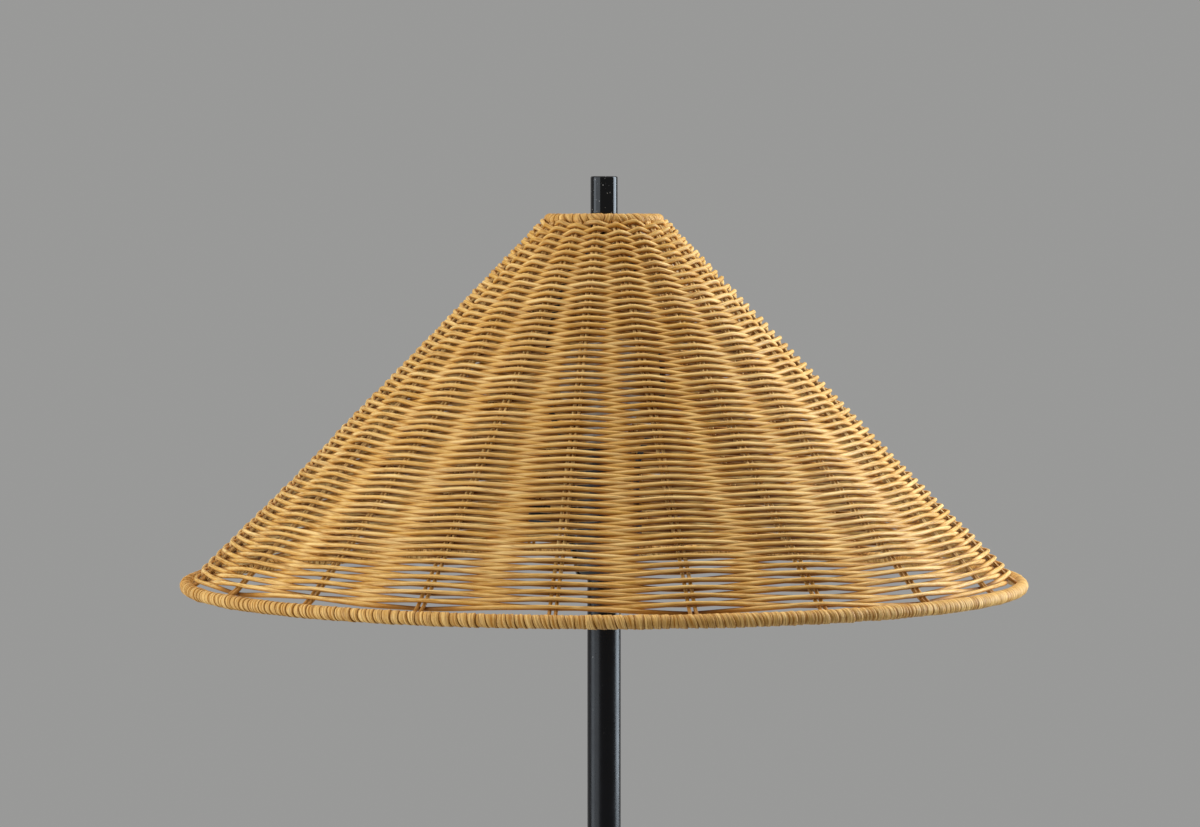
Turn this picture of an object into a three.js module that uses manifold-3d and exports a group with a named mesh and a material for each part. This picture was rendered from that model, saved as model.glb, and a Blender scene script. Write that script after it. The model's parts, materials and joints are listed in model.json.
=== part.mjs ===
// Floor lamp with a cone shade of woven rattan, hung on a wire harp over one screw socket.
// Millimetres, +Z up. The origin is the centre of the base's underside, on the floor.
// Turns about the lamp's axis are counted in degrees from -Y towards +X.
import * as THREE from "three";
import { mergeVertices } from "three/addons/utils/BufferGeometryUtils.js";
import Module from "manifold-3d";

const wasm = await Module();
wasm.setup();

// Clearances shared by all pieces
const SEAT_GAP = 0.3;
const CUT_OVERRUN = 2;

// Base
const BASE_DIAMETER = 280;
const FELT_INSET = 4;
const FELT_THICKNESS = 2;
const BASE_HEIGHT = 20;
const COVER_WALL = 1.2;
const COVER_EDGE_RADIUS = 6;
const NUT_RECESS_DIAMETER = 42;
const NUT_RECESS_DEPTH = 8;
const WASHER_DIAMETER = 34;
const WASHER_THICKNESS = 2;
const NUT_ACROSS_CORNERS = 19.6;
const NUT_THICKNESS = 5;
const LEAD_CHANNEL_WIDTH = 8;
const COLLAR_DIAMETER = 36;
const COLLAR_HEIGHT = 7;
const COLLAR_EDGE_RADIUS = 2.5;

// Bushing where the mains lead enters, at the back of the base
const GLAND_HEIGHT = 9;
const GLAND_DIAMETER = 8;
const GLAND_BORE = 5;
const GLAND_FLANGE_DIAMETER = 12;
const GLAND_FLANGE_THICKNESS = 2;
const GLAND_LENGTH = 7;

// Pole
const POLE_DIAMETER = 22.2;
const POLE_WALL = 1.2;
const POLE_SECTION_LENGTH = 410;
const POLE_SECTION_NAMES = ["pole_lower", "pole_middle", "pole_upper"];
const COUPLER_LENGTH = 50;
const PLUG_LENGTH = 24;
const PLUG_FLANGE_THICKNESS = 2;
const NIPPLE_DIAMETER = 9.6;
const NIPPLE_BORE = 6.4;
const NIPPLE_ENGAGEMENT = 16;

// Socket
const SOCKET_DIAMETER = 36;
const SOCKET_WALL = 1.2;
const SOCKET_CORNER_RADIUS = 6;
const CAP_HEIGHT = 28;
const SHELL_HEIGHT = 57;
const SHELL_LIP = 1;
const LINER_WALL = 0.8;
const LINER_HEIGHT = 48;
const CORE_DIAMETER = 30;
const CORE_HEIGHT = 30;
const CORE_TOP = 47;
const CORE_BORE = 5;
const CORE_FOOT_DIAMETER = 14;
const CORE_FOOT_HEIGHT = 10;
const SWITCH_HEIGHT = 41.3;
const SPINDLE_DIAMETER = 4;
const SPINDLE_DEPTH = 6;
const KNOB_DIAMETER = 12.6;
const KNOB_LENGTH = 14.5;
const KNOB_REACH = 50;
const KNOB_LOBES = 10;
const KNOB_LOBE_DEPTH = 0.8;

// Screw thread of the bulb and its socket
const THREAD_DIAMETER = 26.1;
const THREAD_DEPTH = 0.9;
const THREAD_PITCH = 3.63;
const THREAD_TURNS = 4;
const SCREW_SHELL_WALL = 0.8;
const CONTACT_WIDTH = 6;
const CONTACT_LENGTH = 16;
const CONTACT_THICKNESS = 0.8;
const CONTACT_RISE = 2.2;

// Bulb
const BULB_DIAMETER = 60;
const BULB_LENGTH = 108;
const BULB_NECK_DIAMETER = 22;
const BULB_WALL = 1;
const BULB_BALL_START_DEGREES = -36;
const BULB_CAP_LENGTH = 25;
const BULB_CAP_RECESS = 5;
const BULB_TIP_DIAMETER = 9;
const BULB_TIP_HEIGHT = 1.6;
const BULB_INSULATOR_HEIGHT = 3;

// Harp and the saddle that carries it
const HARP_DEGREES = 45;
const SADDLE_THICKNESS = 1.6;
const SADDLE_WIDTH = 9;
const SADDLE_PLATE_DIAMETER = 20;
const SADDLE_ARM_HEIGHT = 38;
const SADDLE_FOOT_RADIUS = 21.5;
const SADDLE_PIN_HEIGHT = 5;
const HARP_WIRE_DIAMETER = 4;
const HARP_LEG_RADIUS = 30;
const HARP_LEG_HEIGHT = 22;
const HARP_BELLY_RADIUS = 54;
const HARP_BELLY_HEIGHT = 92;
const HARP_HEIGHT = 176;
const SLEEVE_DIAMETER = 7.4;
const SLEEVE_LENGTH = 12;
const BOSS_DIAMETER = 14;
const BOSS_THICKNESS = 4;
const STUD_DIAMETER = 6.3;
const STUD_LENGTH = 20;
const STUD_TIP_CHAMFER = 0.8;
const STUD_SHOULDER_DIAMETER = 16;
const STUD_SHOULDER_THICKNESS = 2.5;
const RIVET_HEAD_DIAMETER = 10;
const RIVET_HEAD_THICKNESS = 2;

// Shade. The slope is the mid-surface of the weave, where the stakes lie.
const RIM_RING_RADIUS = 275.7;
const RIM_WIRE_DIAMETER = 5;
const RIM_BINDING_DIAMETER = 8.9;
const SLOPE_FOOT_RADIUS = 269.4;
const TOP_RING_RADIUS = 36;
const TOP_RING_HEIGHT = 240.7;
const TOP_WIRE_DIAMETER = 4;
const TOP_BINDING_DIAMETER = 7.4;
const STAKE_COUNT = 20;
const STAKE_START_DEGREES = -6.6;
const STAKE_DIAMETER = 2.4;
const STAKE_SPACING = 3.9;
const STRAND_DIAMETER = 3.2;
const WEAVE_FOOT_GAP = 7;
const SLIT_ROWS = 7;
const SLIT_HEIGHT = 1.8;
const SLIT_END_INSET = 6;
const HUB_DROP = 13.5;
const HUB_DIAMETER = 24;
const HUB_THICKNESS = 2;
const SPIDER_ARM_COUNT = 3;
const SPIDER_ARM_DEGREES = 60;
const SPIDER_ARM_DIAMETER = 3.2;

// Finial
const FINIAL_DIAMETER = 18;
const FINIAL_LENGTH = 39.5;
const FINIAL_EDGE_RADIUS = 1;
const FINIAL_BORE_DIAMETER = 12.6;
const FINIAL_BORE_DEPTH = 23;
const INSERT_LENGTH = 14;

// Facets round each size of turned piece
const WIDE_SIDES = 44;
const ROUND_SIDES = 20;
const SMALL_SIDES = 12;
const WIRE_SIDES = 6;
const HARP_BELLY_STEPS = 6;
const HARP_SHOULDER_STEPS = 8;
const RIM_SIDES_PER_STAKE = 3;
const TOP_SIDES_PER_STAKE = 2;
const WEAVE_STATIONS_PER_STAKE = 3;
const MERGE_DISTANCE = 1e-4;

// Heights above the floor that follow from the sizes
const poleFoot = BASE_HEIGHT + SEAT_GAP;
const poleStep = POLE_SECTION_LENGTH + SEAT_GAP;
const poleTop = poleFoot + POLE_SECTION_NAMES.length * poleStep - SEAT_GAP;
const saddleBottom = poleTop + SEAT_GAP + PLUG_FLANGE_THICKNESS + SEAT_GAP;
const socketBottom = saddleBottom + SADDLE_THICKNESS + SEAT_GAP;
const saddleArmTop = saddleBottom + SADDLE_ARM_HEIGHT;
const harpFoot = saddleArmTop + SADDLE_PIN_HEIGHT + SEAT_GAP;
const harpTop = harpFoot + HARP_HEIGHT;
const studShoulder = harpTop + BOSS_THICKNESS / 2 + SEAT_GAP;
const hubBottom = studShoulder + STUD_SHOULDER_THICKNESS + SEAT_GAP;
const rimHeight = hubBottom + HUB_DROP - TOP_RING_HEIGHT;
const finialBottom = hubBottom + HUB_THICKNESS + SEAT_GAP;
const poleBore = POLE_DIAMETER - 2 * POLE_WALL;

// Heights of the bulb's tip and of the foot of its thread, above the socket's bottom
const bulbRise = CORE_TOP + CONTACT_RISE + CONTACT_THICKNESS + 3 * SEAT_GAP;
const bulbThreadRise = bulbRise + BULB_TIP_HEIGHT + SEAT_GAP + BULB_INSULATOR_HEIGHT;

// Directions along and off the shade's slope, as radius and height
const slopeLength = Math.hypot(SLOPE_FOOT_RADIUS - TOP_RING_RADIUS, TOP_RING_HEIGHT);
const slopeRun = (SLOPE_FOOT_RADIUS - TOP_RING_RADIUS) / slopeLength;
const slopeDrop = TOP_RING_HEIGHT / slopeLength;

// Materials
function material(color, roughness, metalness) {
  return new THREE.MeshStandardMaterial({ color, roughness, metalness });
}
const blackPaint = material(0x131418, 0.35, 0.2);
const finialPaint = material(0x0c0d10, 0.2, 0.3);
const castIron = material(0x3a3a3c, 0.8, 0.6);
const felt = material(0x1b1b1c, 1, 0);
const zincSteel = material(0xa9abad, 0.4, 0.9);
const brass = material(0xc29a4b, 0.3, 1);
const aluminium = material(0xc3c5c8, 0.35, 1);
const blackPlastic = material(0x101113, 0.45, 0);
const blackRubber = material(0x161616, 0.8, 0);
const fibreCard = material(0x8a7a62, 0.9, 0);
const opalGlass = material(0xf4f2ec, 0.25, 0);
const caneStrand = material(0xc9964f, 0.6, 0);
const caneBinding = material(0xc08b45, 0.55, 0);
const caneStake = material(0x9a6a30, 0.65, 0);

// A closed mesh as a solid that can be cut and joined
function solid(geometry) {
  const flat = geometry.index ? geometry.toNonIndexed() : geometry;
  const bare = new THREE.BufferGeometry();
  bare.setAttribute("position", flat.getAttribute("position"));
  const merged = mergeVertices(bare, MERGE_DISTANCE);
  const vertProperties = merged.getAttribute("position").array;
  const triVerts = new Uint32Array(merged.index.array);
  return new wasm.Manifold(new wasm.Mesh({ numProp: 3, vertProperties, triVerts }));
}

function geometryOf(made) {
  const { vertProperties, triVerts } = made.getMesh();
  const geometry = new THREE.BufferGeometry();
  geometry.setAttribute("position", new THREE.BufferAttribute(vertProperties, 3));
  geometry.setIndex(new THREE.BufferAttribute(triVerts, 1));
  geometry.computeVertexNormals();
  return geometry;
}

function cut(body, ...tools) {
  return geometryOf(tools.reduce((made, tool) => made.subtract(solid(tool)), solid(body)));
}

function join(body, ...others) {
  return geometryOf(others.reduce((made, other) => made.add(solid(other)), solid(body)));
}

// A closed outline of [radius, height] points turned round Z, listed in either direction
function turned(outline, sides, startTurn = 0) {
  const area = outline.reduce((sum, [r, z], i) => {
    const [nextR, nextZ] = outline[(i + 1) % outline.length];
    return sum + r * nextZ - nextR * z;
  }, 0);
  const ordered = area > 0 ? outline : [...outline].reverse();
  const points = [...ordered, ordered[0]].map(([r, z]) => new THREE.Vector2(r, z));
  const start = THREE.MathUtils.degToRad(startTurn);
  return new THREE.LatheGeometry(points, sides, start).rotateX(Math.PI / 2);
}

function tube(outerDiameter, boreDiameter, bottom, top, sides) {
  const outer = outerDiameter / 2;
  const bore = boreDiameter / 2;
  return turned([[bore, bottom], [outer, bottom], [outer, top], [bore, top]], sides);
}

// A round bar along Z
function bar(diameter, bottom, top, sides) {
  const length = top - bottom;
  return new THREE.CylinderGeometry(diameter / 2, diameter / 2, length, sides)
    .rotateX(Math.PI / 2)
    .translate(0, 0, bottom + length / 2);
}

// Points of an arc about [centreR, centreZ], from one angle in degrees to another
function arc(centreR, centreZ, radius, from, to, steps) {
  return Array.from({ length: steps + 1 }, (_, i) => {
    const angle = THREE.MathUtils.degToRad(from + ((to - from) * i) / steps);
    return [centreR + radius * Math.cos(angle), centreZ + radius * Math.sin(angle)];
  });
}

// A path whose corners are exactly the points given, so that straight runs take one step
class BentPath extends THREE.Curve {
  constructor(corners) {
    super();
    this.corners = corners;
  }
  cornerAt(share) {
    return Math.round(share * (this.corners.length - 1));
  }
  getPointAt(share) {
    return this.corners[this.cornerAt(share)].clone();
  }
  getTangentAt(share) {
    const i = this.cornerAt(share);
    const here = this.corners[i];
    const before = this.corners[Math.max(i - 1, 0)];
    const after = this.corners[Math.min(i + 1, this.corners.length - 1)];
    const arriving = here.clone().sub(before).normalize();
    return after.clone().sub(here).normalize().add(arriving).normalize();
  }
}

function roundSection(diameter, sides) {
  const section = new THREE.Shape();
  section.setFromPoints(
    arc(0, 0, diameter / 2, 0, 360, sides).slice(0, sides).map(([x, y]) => new THREE.Vector2(x, y)),
  );
  return section;
}

function bentRod(corners, diameter, sides) {
  const extrudePath = new BentPath(corners);
  const steps = corners.length - 1;
  return new THREE.ExtrudeGeometry(roundSection(diameter, sides), { steps, extrudePath });
}

function piece(name, geometry, finish) {
  const mesh = new THREE.Mesh(geometry, finish.clone());
  mesh.name = name;
  return mesh;
}

// Base: a cast weight under a spun cover, felt below, bolted to the pole through its centre
function makeBase() {
  const group = new THREE.Group();
  const coverRadius = BASE_DIAMETER / 2;
  const feltDiameter = BASE_DIAMETER - 2 * FELT_INSET;
  const coverBottom = FELT_THICKNESS + SEAT_GAP;
  const edgeCentre = [coverRadius - COVER_EDGE_RADIUS, BASE_HEIGHT - COVER_EDGE_RADIUS];
  const innerEdgeRadius = COVER_EDGE_RADIUS - COVER_WALL;
  const nippleHole = NIPPLE_DIAMETER / 2 + SEAT_GAP;
  const coverShell = turned([
    [nippleHole, BASE_HEIGHT - COVER_WALL],
    ...arc(...edgeCentre, innerEdgeRadius, 90, 0, 2),
    [coverRadius - COVER_WALL, coverBottom],
    [coverRadius, coverBottom],
    ...arc(...edgeCentre, COVER_EDGE_RADIUS, 0, 90, 3),
    [nippleHole, BASE_HEIGHT],
  ], WIDE_SIDES);
  const glandHole = bar(GLAND_DIAMETER + 2 * SEAT_GAP, 0, coverRadius, SMALL_SIDES);
  glandHole.rotateX(-Math.PI / 2).translate(0, coverRadius / 2, GLAND_HEIGHT);

  const weightRadius = coverRadius - COVER_WALL - SEAT_GAP;
  const weightTop = BASE_HEIGHT - COVER_WALL - SEAT_GAP;
  const recessTop = coverBottom + NUT_RECESS_DEPTH;
  const recessRadius = NUT_RECESS_DIAMETER / 2;
  const weightBlank = turned([
    [nippleHole, recessTop],
    [recessRadius, recessTop],
    [recessRadius, coverBottom],
    [weightRadius, coverBottom],
    [weightRadius, weightTop - innerEdgeRadius],
    [weightRadius - innerEdgeRadius, weightTop],
    [nippleHole, weightTop],
  ], WIDE_SIDES);
  const channelTop = GLAND_HEIGHT + LEAD_CHANNEL_WIDTH / 2;
  const channelBottom = coverBottom - CUT_OVERRUN;
  const channelEnd = coverRadius + CUT_OVERRUN;
  const glandClearance = GLAND_DIAMETER + 2 * SEAT_GAP;
  const channel = new THREE.BoxGeometry(glandClearance, channelEnd, channelTop - channelBottom);
  channel.translate(0, channelEnd / 2, (channelTop + channelBottom) / 2);

  const washerTop = recessTop - SEAT_GAP;
  const washerBottom = washerTop - WASHER_THICKNESS;
  const nutTop = washerBottom - SEAT_GAP;
  const nutBlank = bar(NUT_ACROSS_CORNERS, nutTop - NUT_THICKNESS, nutTop, 6);
  const threadHole = bar(2 * nippleHole, 0, BASE_HEIGHT, SMALL_SIDES);
  const washer = tube(WASHER_DIAMETER, 2 * nippleHole, washerBottom, washerTop, SMALL_SIDES);
  const nippleBottom = nutTop - NUT_THICKNESS;
  const nippleTop = poleFoot + NIPPLE_ENGAGEMENT;
  const nipple = tube(NIPPLE_DIAMETER, NIPPLE_BORE, nippleBottom, nippleTop, SMALL_SIDES);

  const collarRadius = COLLAR_DIAMETER / 2;
  const collarBore = POLE_DIAMETER / 2 + SEAT_GAP;
  const collarTop = poleFoot + COLLAR_HEIGHT;
  const collarEdge = [collarRadius - COLLAR_EDGE_RADIUS, collarTop - COLLAR_EDGE_RADIUS];

  const flangeRadius = GLAND_FLANGE_DIAMETER / 2;
  const flangeBack = coverRadius + SEAT_GAP;
  const flangeFront = flangeBack + GLAND_FLANGE_THICKNESS;
  const gland = turned([
    [GLAND_BORE / 2, coverRadius - GLAND_LENGTH],
    [GLAND_DIAMETER / 2, coverRadius - GLAND_LENGTH],
    [GLAND_DIAMETER / 2, flangeBack],
    [flangeRadius, flangeBack],
    [flangeRadius, flangeFront - GLAND_FLANGE_THICKNESS / 2],
    [flangeRadius - GLAND_FLANGE_THICKNESS / 2, flangeFront],
    [GLAND_BORE / 2, flangeFront],
  ], SMALL_SIDES).rotateX(-Math.PI / 2).translate(0, 0, GLAND_HEIGHT);

  group.add(
    piece("base_felt_pad", bar(feltDiameter, 0, FELT_THICKNESS, WIDE_SIDES), felt),
    piece("base_weight", cut(weightBlank, channel), castIron),
    piece("base_cover", cut(coverShell, glandHole), blackPaint),
    piece("base_washer", washer, zincSteel),
    piece("base_nut", cut(nutBlank, threadHole), zincSteel),
    piece("base_nipple", nipple, zincSteel),
    piece("base_collar", turned([
      [collarBore, poleFoot],
      [collarRadius, poleFoot],
      ...arc(...collarEdge, COLLAR_EDGE_RADIUS, 0, 90, 3),
      [collarBore, collarTop],
    ], ROUND_SIDES), blackPaint),
    piece("cord_gland", gland, blackRubber),
  );
  return group;
}

// Pole: three tubes joined by spigots, with a threaded plug in each end
function makePole() {
  const group = new THREE.Group();
  const spigot = poleBore - 2 * SEAT_GAP;
  const threadHole = NIPPLE_DIAMETER + 2 * SEAT_GAP;
  POLE_SECTION_NAMES.forEach((name, i) => {
    const bottom = poleFoot + i * poleStep;
    const section = tube(POLE_DIAMETER, poleBore, bottom, bottom + POLE_SECTION_LENGTH, ROUND_SIDES);
    group.add(piece(name, section, blackPaint));
  });
  ["pole_coupler_lower", "pole_coupler_upper"].forEach((name, i) => {
    const middle = poleFoot + (i + 1) * poleStep - SEAT_GAP / 2;
    const bottom = middle - COUPLER_LENGTH / 2;
    const coupler = tube(spigot, threadHole, bottom, bottom + COUPLER_LENGTH, ROUND_SIDES);
    group.add(piece(name, coupler, zincSteel));
  });
  const footPlug = tube(spigot, threadHole, poleFoot, poleFoot + PLUG_LENGTH, ROUND_SIDES);
  const flangeBottom = poleTop + SEAT_GAP;
  const flangeTop = flangeBottom + PLUG_FLANGE_THICKNESS;
  const topPlug = turned([
    [threadHole / 2, flangeBottom - PLUG_LENGTH],
    [spigot / 2, flangeBottom - PLUG_LENGTH],
    [spigot / 2, flangeBottom],
    [POLE_DIAMETER / 2, flangeBottom],
    [POLE_DIAMETER / 2, flangeTop],
    [threadHole / 2, flangeTop],
  ], ROUND_SIDES);
  const nippleBottom = flangeTop - NIPPLE_ENGAGEMENT;
  const nippleTop = socketBottom + NIPPLE_ENGAGEMENT / 2;
  const nipple = tube(NIPPLE_DIAMETER, NIPPLE_BORE, nippleBottom, nippleTop, SMALL_SIDES);
  group.add(
    piece("pole_foot_plug", footPlug, zincSteel),
    piece("pole_top_plug", topPlug, blackPaint),
    piece("socket_nipple", nipple, zincSteel),
  );
  return group;
}

// Zigzag of thread crests and roots up a screwed wall, as [radius, height] points
function threadLine(crestRadius, bottom, turns) {
  return Array.from({ length: 2 * turns + 1 }, (_, i) => {
    const radius = i % 2 ? crestRadius : crestRadius - THREAD_DEPTH;
    return [radius, bottom + (i * THREAD_PITCH) / 2];
  });
}

// Socket: cap and shell outside, card liner, moulded core, screw shell and contact inside
function makeSocket() {
  const group = new THREE.Group();
  group.position.z = socketBottom;
  const outer = SOCKET_DIAMETER / 2;
  const inner = outer - SOCKET_WALL;
  const innerCorner = SOCKET_CORNER_RADIUS - SOCKET_WALL;
  const cornerR = outer - SOCKET_CORNER_RADIUS;
  const threadHole = NIPPLE_DIAMETER / 2 + SEAT_GAP;
  const cap = turned([
    [threadHole, 0],
    ...arc(cornerR, SOCKET_CORNER_RADIUS, SOCKET_CORNER_RADIUS, -90, 0, 3),
    [outer, CAP_HEIGHT],
    [inner, CAP_HEIGHT],
    ...arc(cornerR, SOCKET_CORNER_RADIUS, innerCorner, 0, -90, 2),
    [threadHole, SOCKET_WALL],
  ], ROUND_SIDES);

  const shellBottom = CAP_HEIGHT + SEAT_GAP;
  const shellTop = shellBottom + SHELL_HEIGHT;
  const shell = turned([
    [outer, shellBottom],
    [outer, shellTop - 2 * SHELL_LIP],
    [outer + SHELL_LIP, shellTop - SHELL_LIP],
    [outer, shellTop],
    [inner, shellTop],
    [inner, shellBottom],
  ], ROUND_SIDES);

  const spindleHole = bar(SPINDLE_DIAMETER + 2 * SEAT_GAP, 0, KNOB_REACH, SMALL_SIDES)
    .rotateY(-Math.PI / 2)
    .translate(0, 0, SWITCH_HEIGHT);
  const linerDiameter = 2 * (inner - SEAT_GAP);
  const linerBore = linerDiameter - 2 * LINER_WALL;
  const linerTop = shellTop - SOCKET_CORNER_RADIUS;
  const liner = tube(linerDiameter, linerBore, linerTop - LINER_HEIGHT, linerTop, ROUND_SIDES);

  const coreBottom = CORE_TOP - CORE_HEIGHT;
  const core = turned([
    [CORE_BORE / 2, coreBottom - CORE_FOOT_HEIGHT + SEAT_GAP],
    [CORE_FOOT_DIAMETER / 2, coreBottom - CORE_FOOT_HEIGHT + SEAT_GAP],
    [CORE_FOOT_DIAMETER / 2, coreBottom],
    [CORE_DIAMETER / 2, coreBottom],
    [CORE_DIAMETER / 2, CORE_TOP],
    [CORE_BORE / 2, CORE_TOP],
  ], ROUND_SIDES);
  const nippleClearance = bar(NIPPLE_DIAMETER + 2 * SEAT_GAP, 0, NIPPLE_ENGAGEMENT, SMALL_SIDES);

  const screwBottom = CORE_TOP + SEAT_GAP;
  const screwCrest = THREAD_DIAMETER / 2 + SEAT_GAP;
  const screwRoot = screwCrest - THREAD_DEPTH;
  const screwFloor = screwBottom + SCREW_SHELL_WALL;
  const contactHole = CONTACT_LENGTH / 2 + SEAT_GAP;
  const turnsBelowBulb = Math.floor((bulbThreadRise - screwFloor) / THREAD_PITCH);
  const threadBottom = bulbThreadRise - turnsBelowBulb * THREAD_PITCH;
  const innerThread = threadLine(screwCrest, threadBottom, THREAD_TURNS + 1);
  const screwShell = turned([
    [contactHole, screwBottom],
    [screwRoot + SCREW_SHELL_WALL, screwBottom],
    ...innerThread.map(([r, z]) => [r + SCREW_SHELL_WALL, z]),
    ...innerThread.reverse(),
    [screwRoot, screwFloor],
    [contactHole, screwFloor],
  ], ROUND_SIDES);

  const strip = new THREE.Shape();
  const reach = CONTACT_LENGTH / 2 - SEAT_GAP;
  strip.moveTo(-reach, 0);
  strip.lineTo(0, 0);
  strip.lineTo(reach, CONTACT_RISE);
  strip.lineTo(reach - CONTACT_RISE, CONTACT_RISE + CONTACT_THICKNESS);
  strip.lineTo(0, CONTACT_THICKNESS);
  strip.lineTo(-reach, CONTACT_THICKNESS);
  const contact = new THREE.ExtrudeGeometry(strip, { depth: CONTACT_WIDTH, bevelEnabled: false })
    .translate(0, 0, -CONTACT_WIDTH / 2)
    .rotateX(Math.PI / 2)
    .translate(0, 0, screwBottom);

  group.add(
    piece("socket_cap", cap, blackPlastic),
    piece("socket_shell", cut(shell, spindleHole), blackPlastic),
    piece("socket_liner", cut(liner, spindleHole), fibreCard),
    piece("socket_core", cut(core, spindleHole, nippleClearance), blackPlastic),
    piece("socket_screw_shell", screwShell, aluminium),
    piece("socket_contact", contact, brass),
    piece("switch_knob", makeKnob(), blackPlastic),
  );
  return group;
}

// Turn knob with its spindle, along -X at the height of the switch
function makeKnob() {
  const outline = new THREE.Shape();
  const pointsPerLobe = 4;
  outline.setFromPoints(Array.from({ length: KNOB_LOBES * pointsPerLobe }, (_, i) => {
    const angle = (2 * Math.PI * i) / (KNOB_LOBES * pointsPerLobe);
    const dip = (KNOB_LOBE_DEPTH * (1 - Math.cos(KNOB_LOBES * angle))) / 2;
    const radius = KNOB_DIAMETER / 2 - dip;
    return new THREE.Vector2(radius * Math.cos(angle), radius * Math.sin(angle));
  }));
  const grip = new THREE.ExtrudeGeometry(outline, { depth: KNOB_LENGTH, bevelEnabled: false })
    .translate(0, 0, KNOB_REACH - KNOB_LENGTH);
  const spindleInner = CORE_DIAMETER / 2 - SPINDLE_DEPTH;
  const spindle = bar(SPINDLE_DIAMETER, spindleInner, KNOB_REACH - KNOB_LENGTH / 2, SMALL_SIDES);
  return join(grip, spindle).rotateY(-Math.PI / 2).translate(0, 0, SWITCH_HEIGHT);
}

// Bulb: opal glass on a screw cap with a contact at its tip
function makeBulb() {
  const group = new THREE.Group();
  group.position.z = socketBottom + bulbRise;
  const tipTop = BULB_TIP_HEIGHT;
  const capBottom = tipTop + SEAT_GAP;
  const threadBottom = bulbThreadRise - bulbRise;
  const capTop = BULB_TIP_HEIGHT + BULB_CAP_LENGTH;
  const recessRadius = BULB_NECK_DIAMETER / 2 + SEAT_GAP;
  const crest = THREAD_DIAMETER / 2;
  const cap = turned([
    [0, capBottom],
    [BULB_TIP_DIAMETER / 2, capBottom],
    ...threadLine(crest, threadBottom, THREAD_TURNS),
    [crest - THREAD_DEPTH, capTop],
    [recessRadius, capTop],
    [recessRadius, capTop - BULB_CAP_RECESS],
    [0, capTop - BULB_CAP_RECESS],
  ], ROUND_SIDES);

  const globeRadius = BULB_DIAMETER / 2;
  const globeCentre = BULB_LENGTH - globeRadius;
  const neckBottom = capTop - BULB_CAP_RECESS + SEAT_GAP;
  const wallLine = (inset) => {
    const neck = BULB_NECK_DIAMETER / 2 - inset;
    const ball = arc(0, globeCentre, globeRadius - inset, BULB_BALL_START_DEGREES, 90, 7);
    const waist = new THREE.CubicBezierCurve(
      new THREE.Vector2(neck, capTop),
      new THREE.Vector2(neck, (capTop + ball[0][1]) / 2),
      new THREE.Vector2((neck + ball[0][0]) / 2, (capTop + ball[0][1]) / 2),
      new THREE.Vector2(...ball[0]),
    );
    const waistPoints = waist.getPoints(2).slice(0, 2).map(({ x, y }) => [x, y]);
    return [[neck, neckBottom], ...waistPoints, ...ball];
  };
  const outside = wallLine(0);
  const inside = wallLine(BULB_WALL).reverse();
  const globe = turned([...outside, ...inside], ROUND_SIDES);

  group.add(
    piece("bulb_contact_tip", bar(BULB_TIP_DIAMETER, 0, tipTop, SMALL_SIDES), brass),
    piece("bulb_screw_cap", cap, aluminium),
    piece("bulb_globe", globe, opalGlass),
  );
  return group;
}

// Saddle clamped under the socket, with an arm up each side and a pin on each arm
function makeSaddle() {
  const armTop = SADDLE_ARM_HEIGHT;
  const half = SADDLE_THICKNESS / 2;
  const outline = new THREE.Shape();
  const right = [
    [SADDLE_FOOT_RADIUS, 0],
    [HARP_LEG_RADIUS + half, armTop - SADDLE_WIDTH],
    [HARP_LEG_RADIUS + HARP_WIRE_DIAMETER / 2, armTop],
    [HARP_LEG_RADIUS - HARP_WIRE_DIAMETER / 2, armTop],
    [HARP_LEG_RADIUS - half, armTop - SADDLE_WIDTH],
    [SADDLE_FOOT_RADIUS - half, SADDLE_THICKNESS],
  ];
  const left = right.map(([x, z]) => [-x, z]).reverse();
  outline.setFromPoints([...right, ...left].map(([x, z]) => new THREE.Vector2(x, z)));
  const strip = new THREE.ExtrudeGeometry(outline, { depth: SADDLE_WIDTH, bevelEnabled: false })
    .translate(0, 0, -SADDLE_WIDTH / 2)
    .rotateX(Math.PI / 2);
  const pins = [-1, 1].map((side) =>
    bar(HARP_WIRE_DIAMETER, armTop - SADDLE_WIDTH / 2, armTop + SADDLE_PIN_HEIGHT, WIRE_SIDES)
      .translate(side * HARP_LEG_RADIUS, 0, 0));
  const plate = bar(SADDLE_PLATE_DIAMETER, 0, SADDLE_THICKNESS, ROUND_SIDES);
  const hole = bar(NIPPLE_DIAMETER + 2 * SEAT_GAP, -CUT_OVERRUN, armTop, SMALL_SIDES);
  const saddle = piece("harp_saddle", cut(join(strip, plate, ...pins), hole), blackPaint);
  saddle.position.z = saddleBottom;
  return saddle;
}

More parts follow.
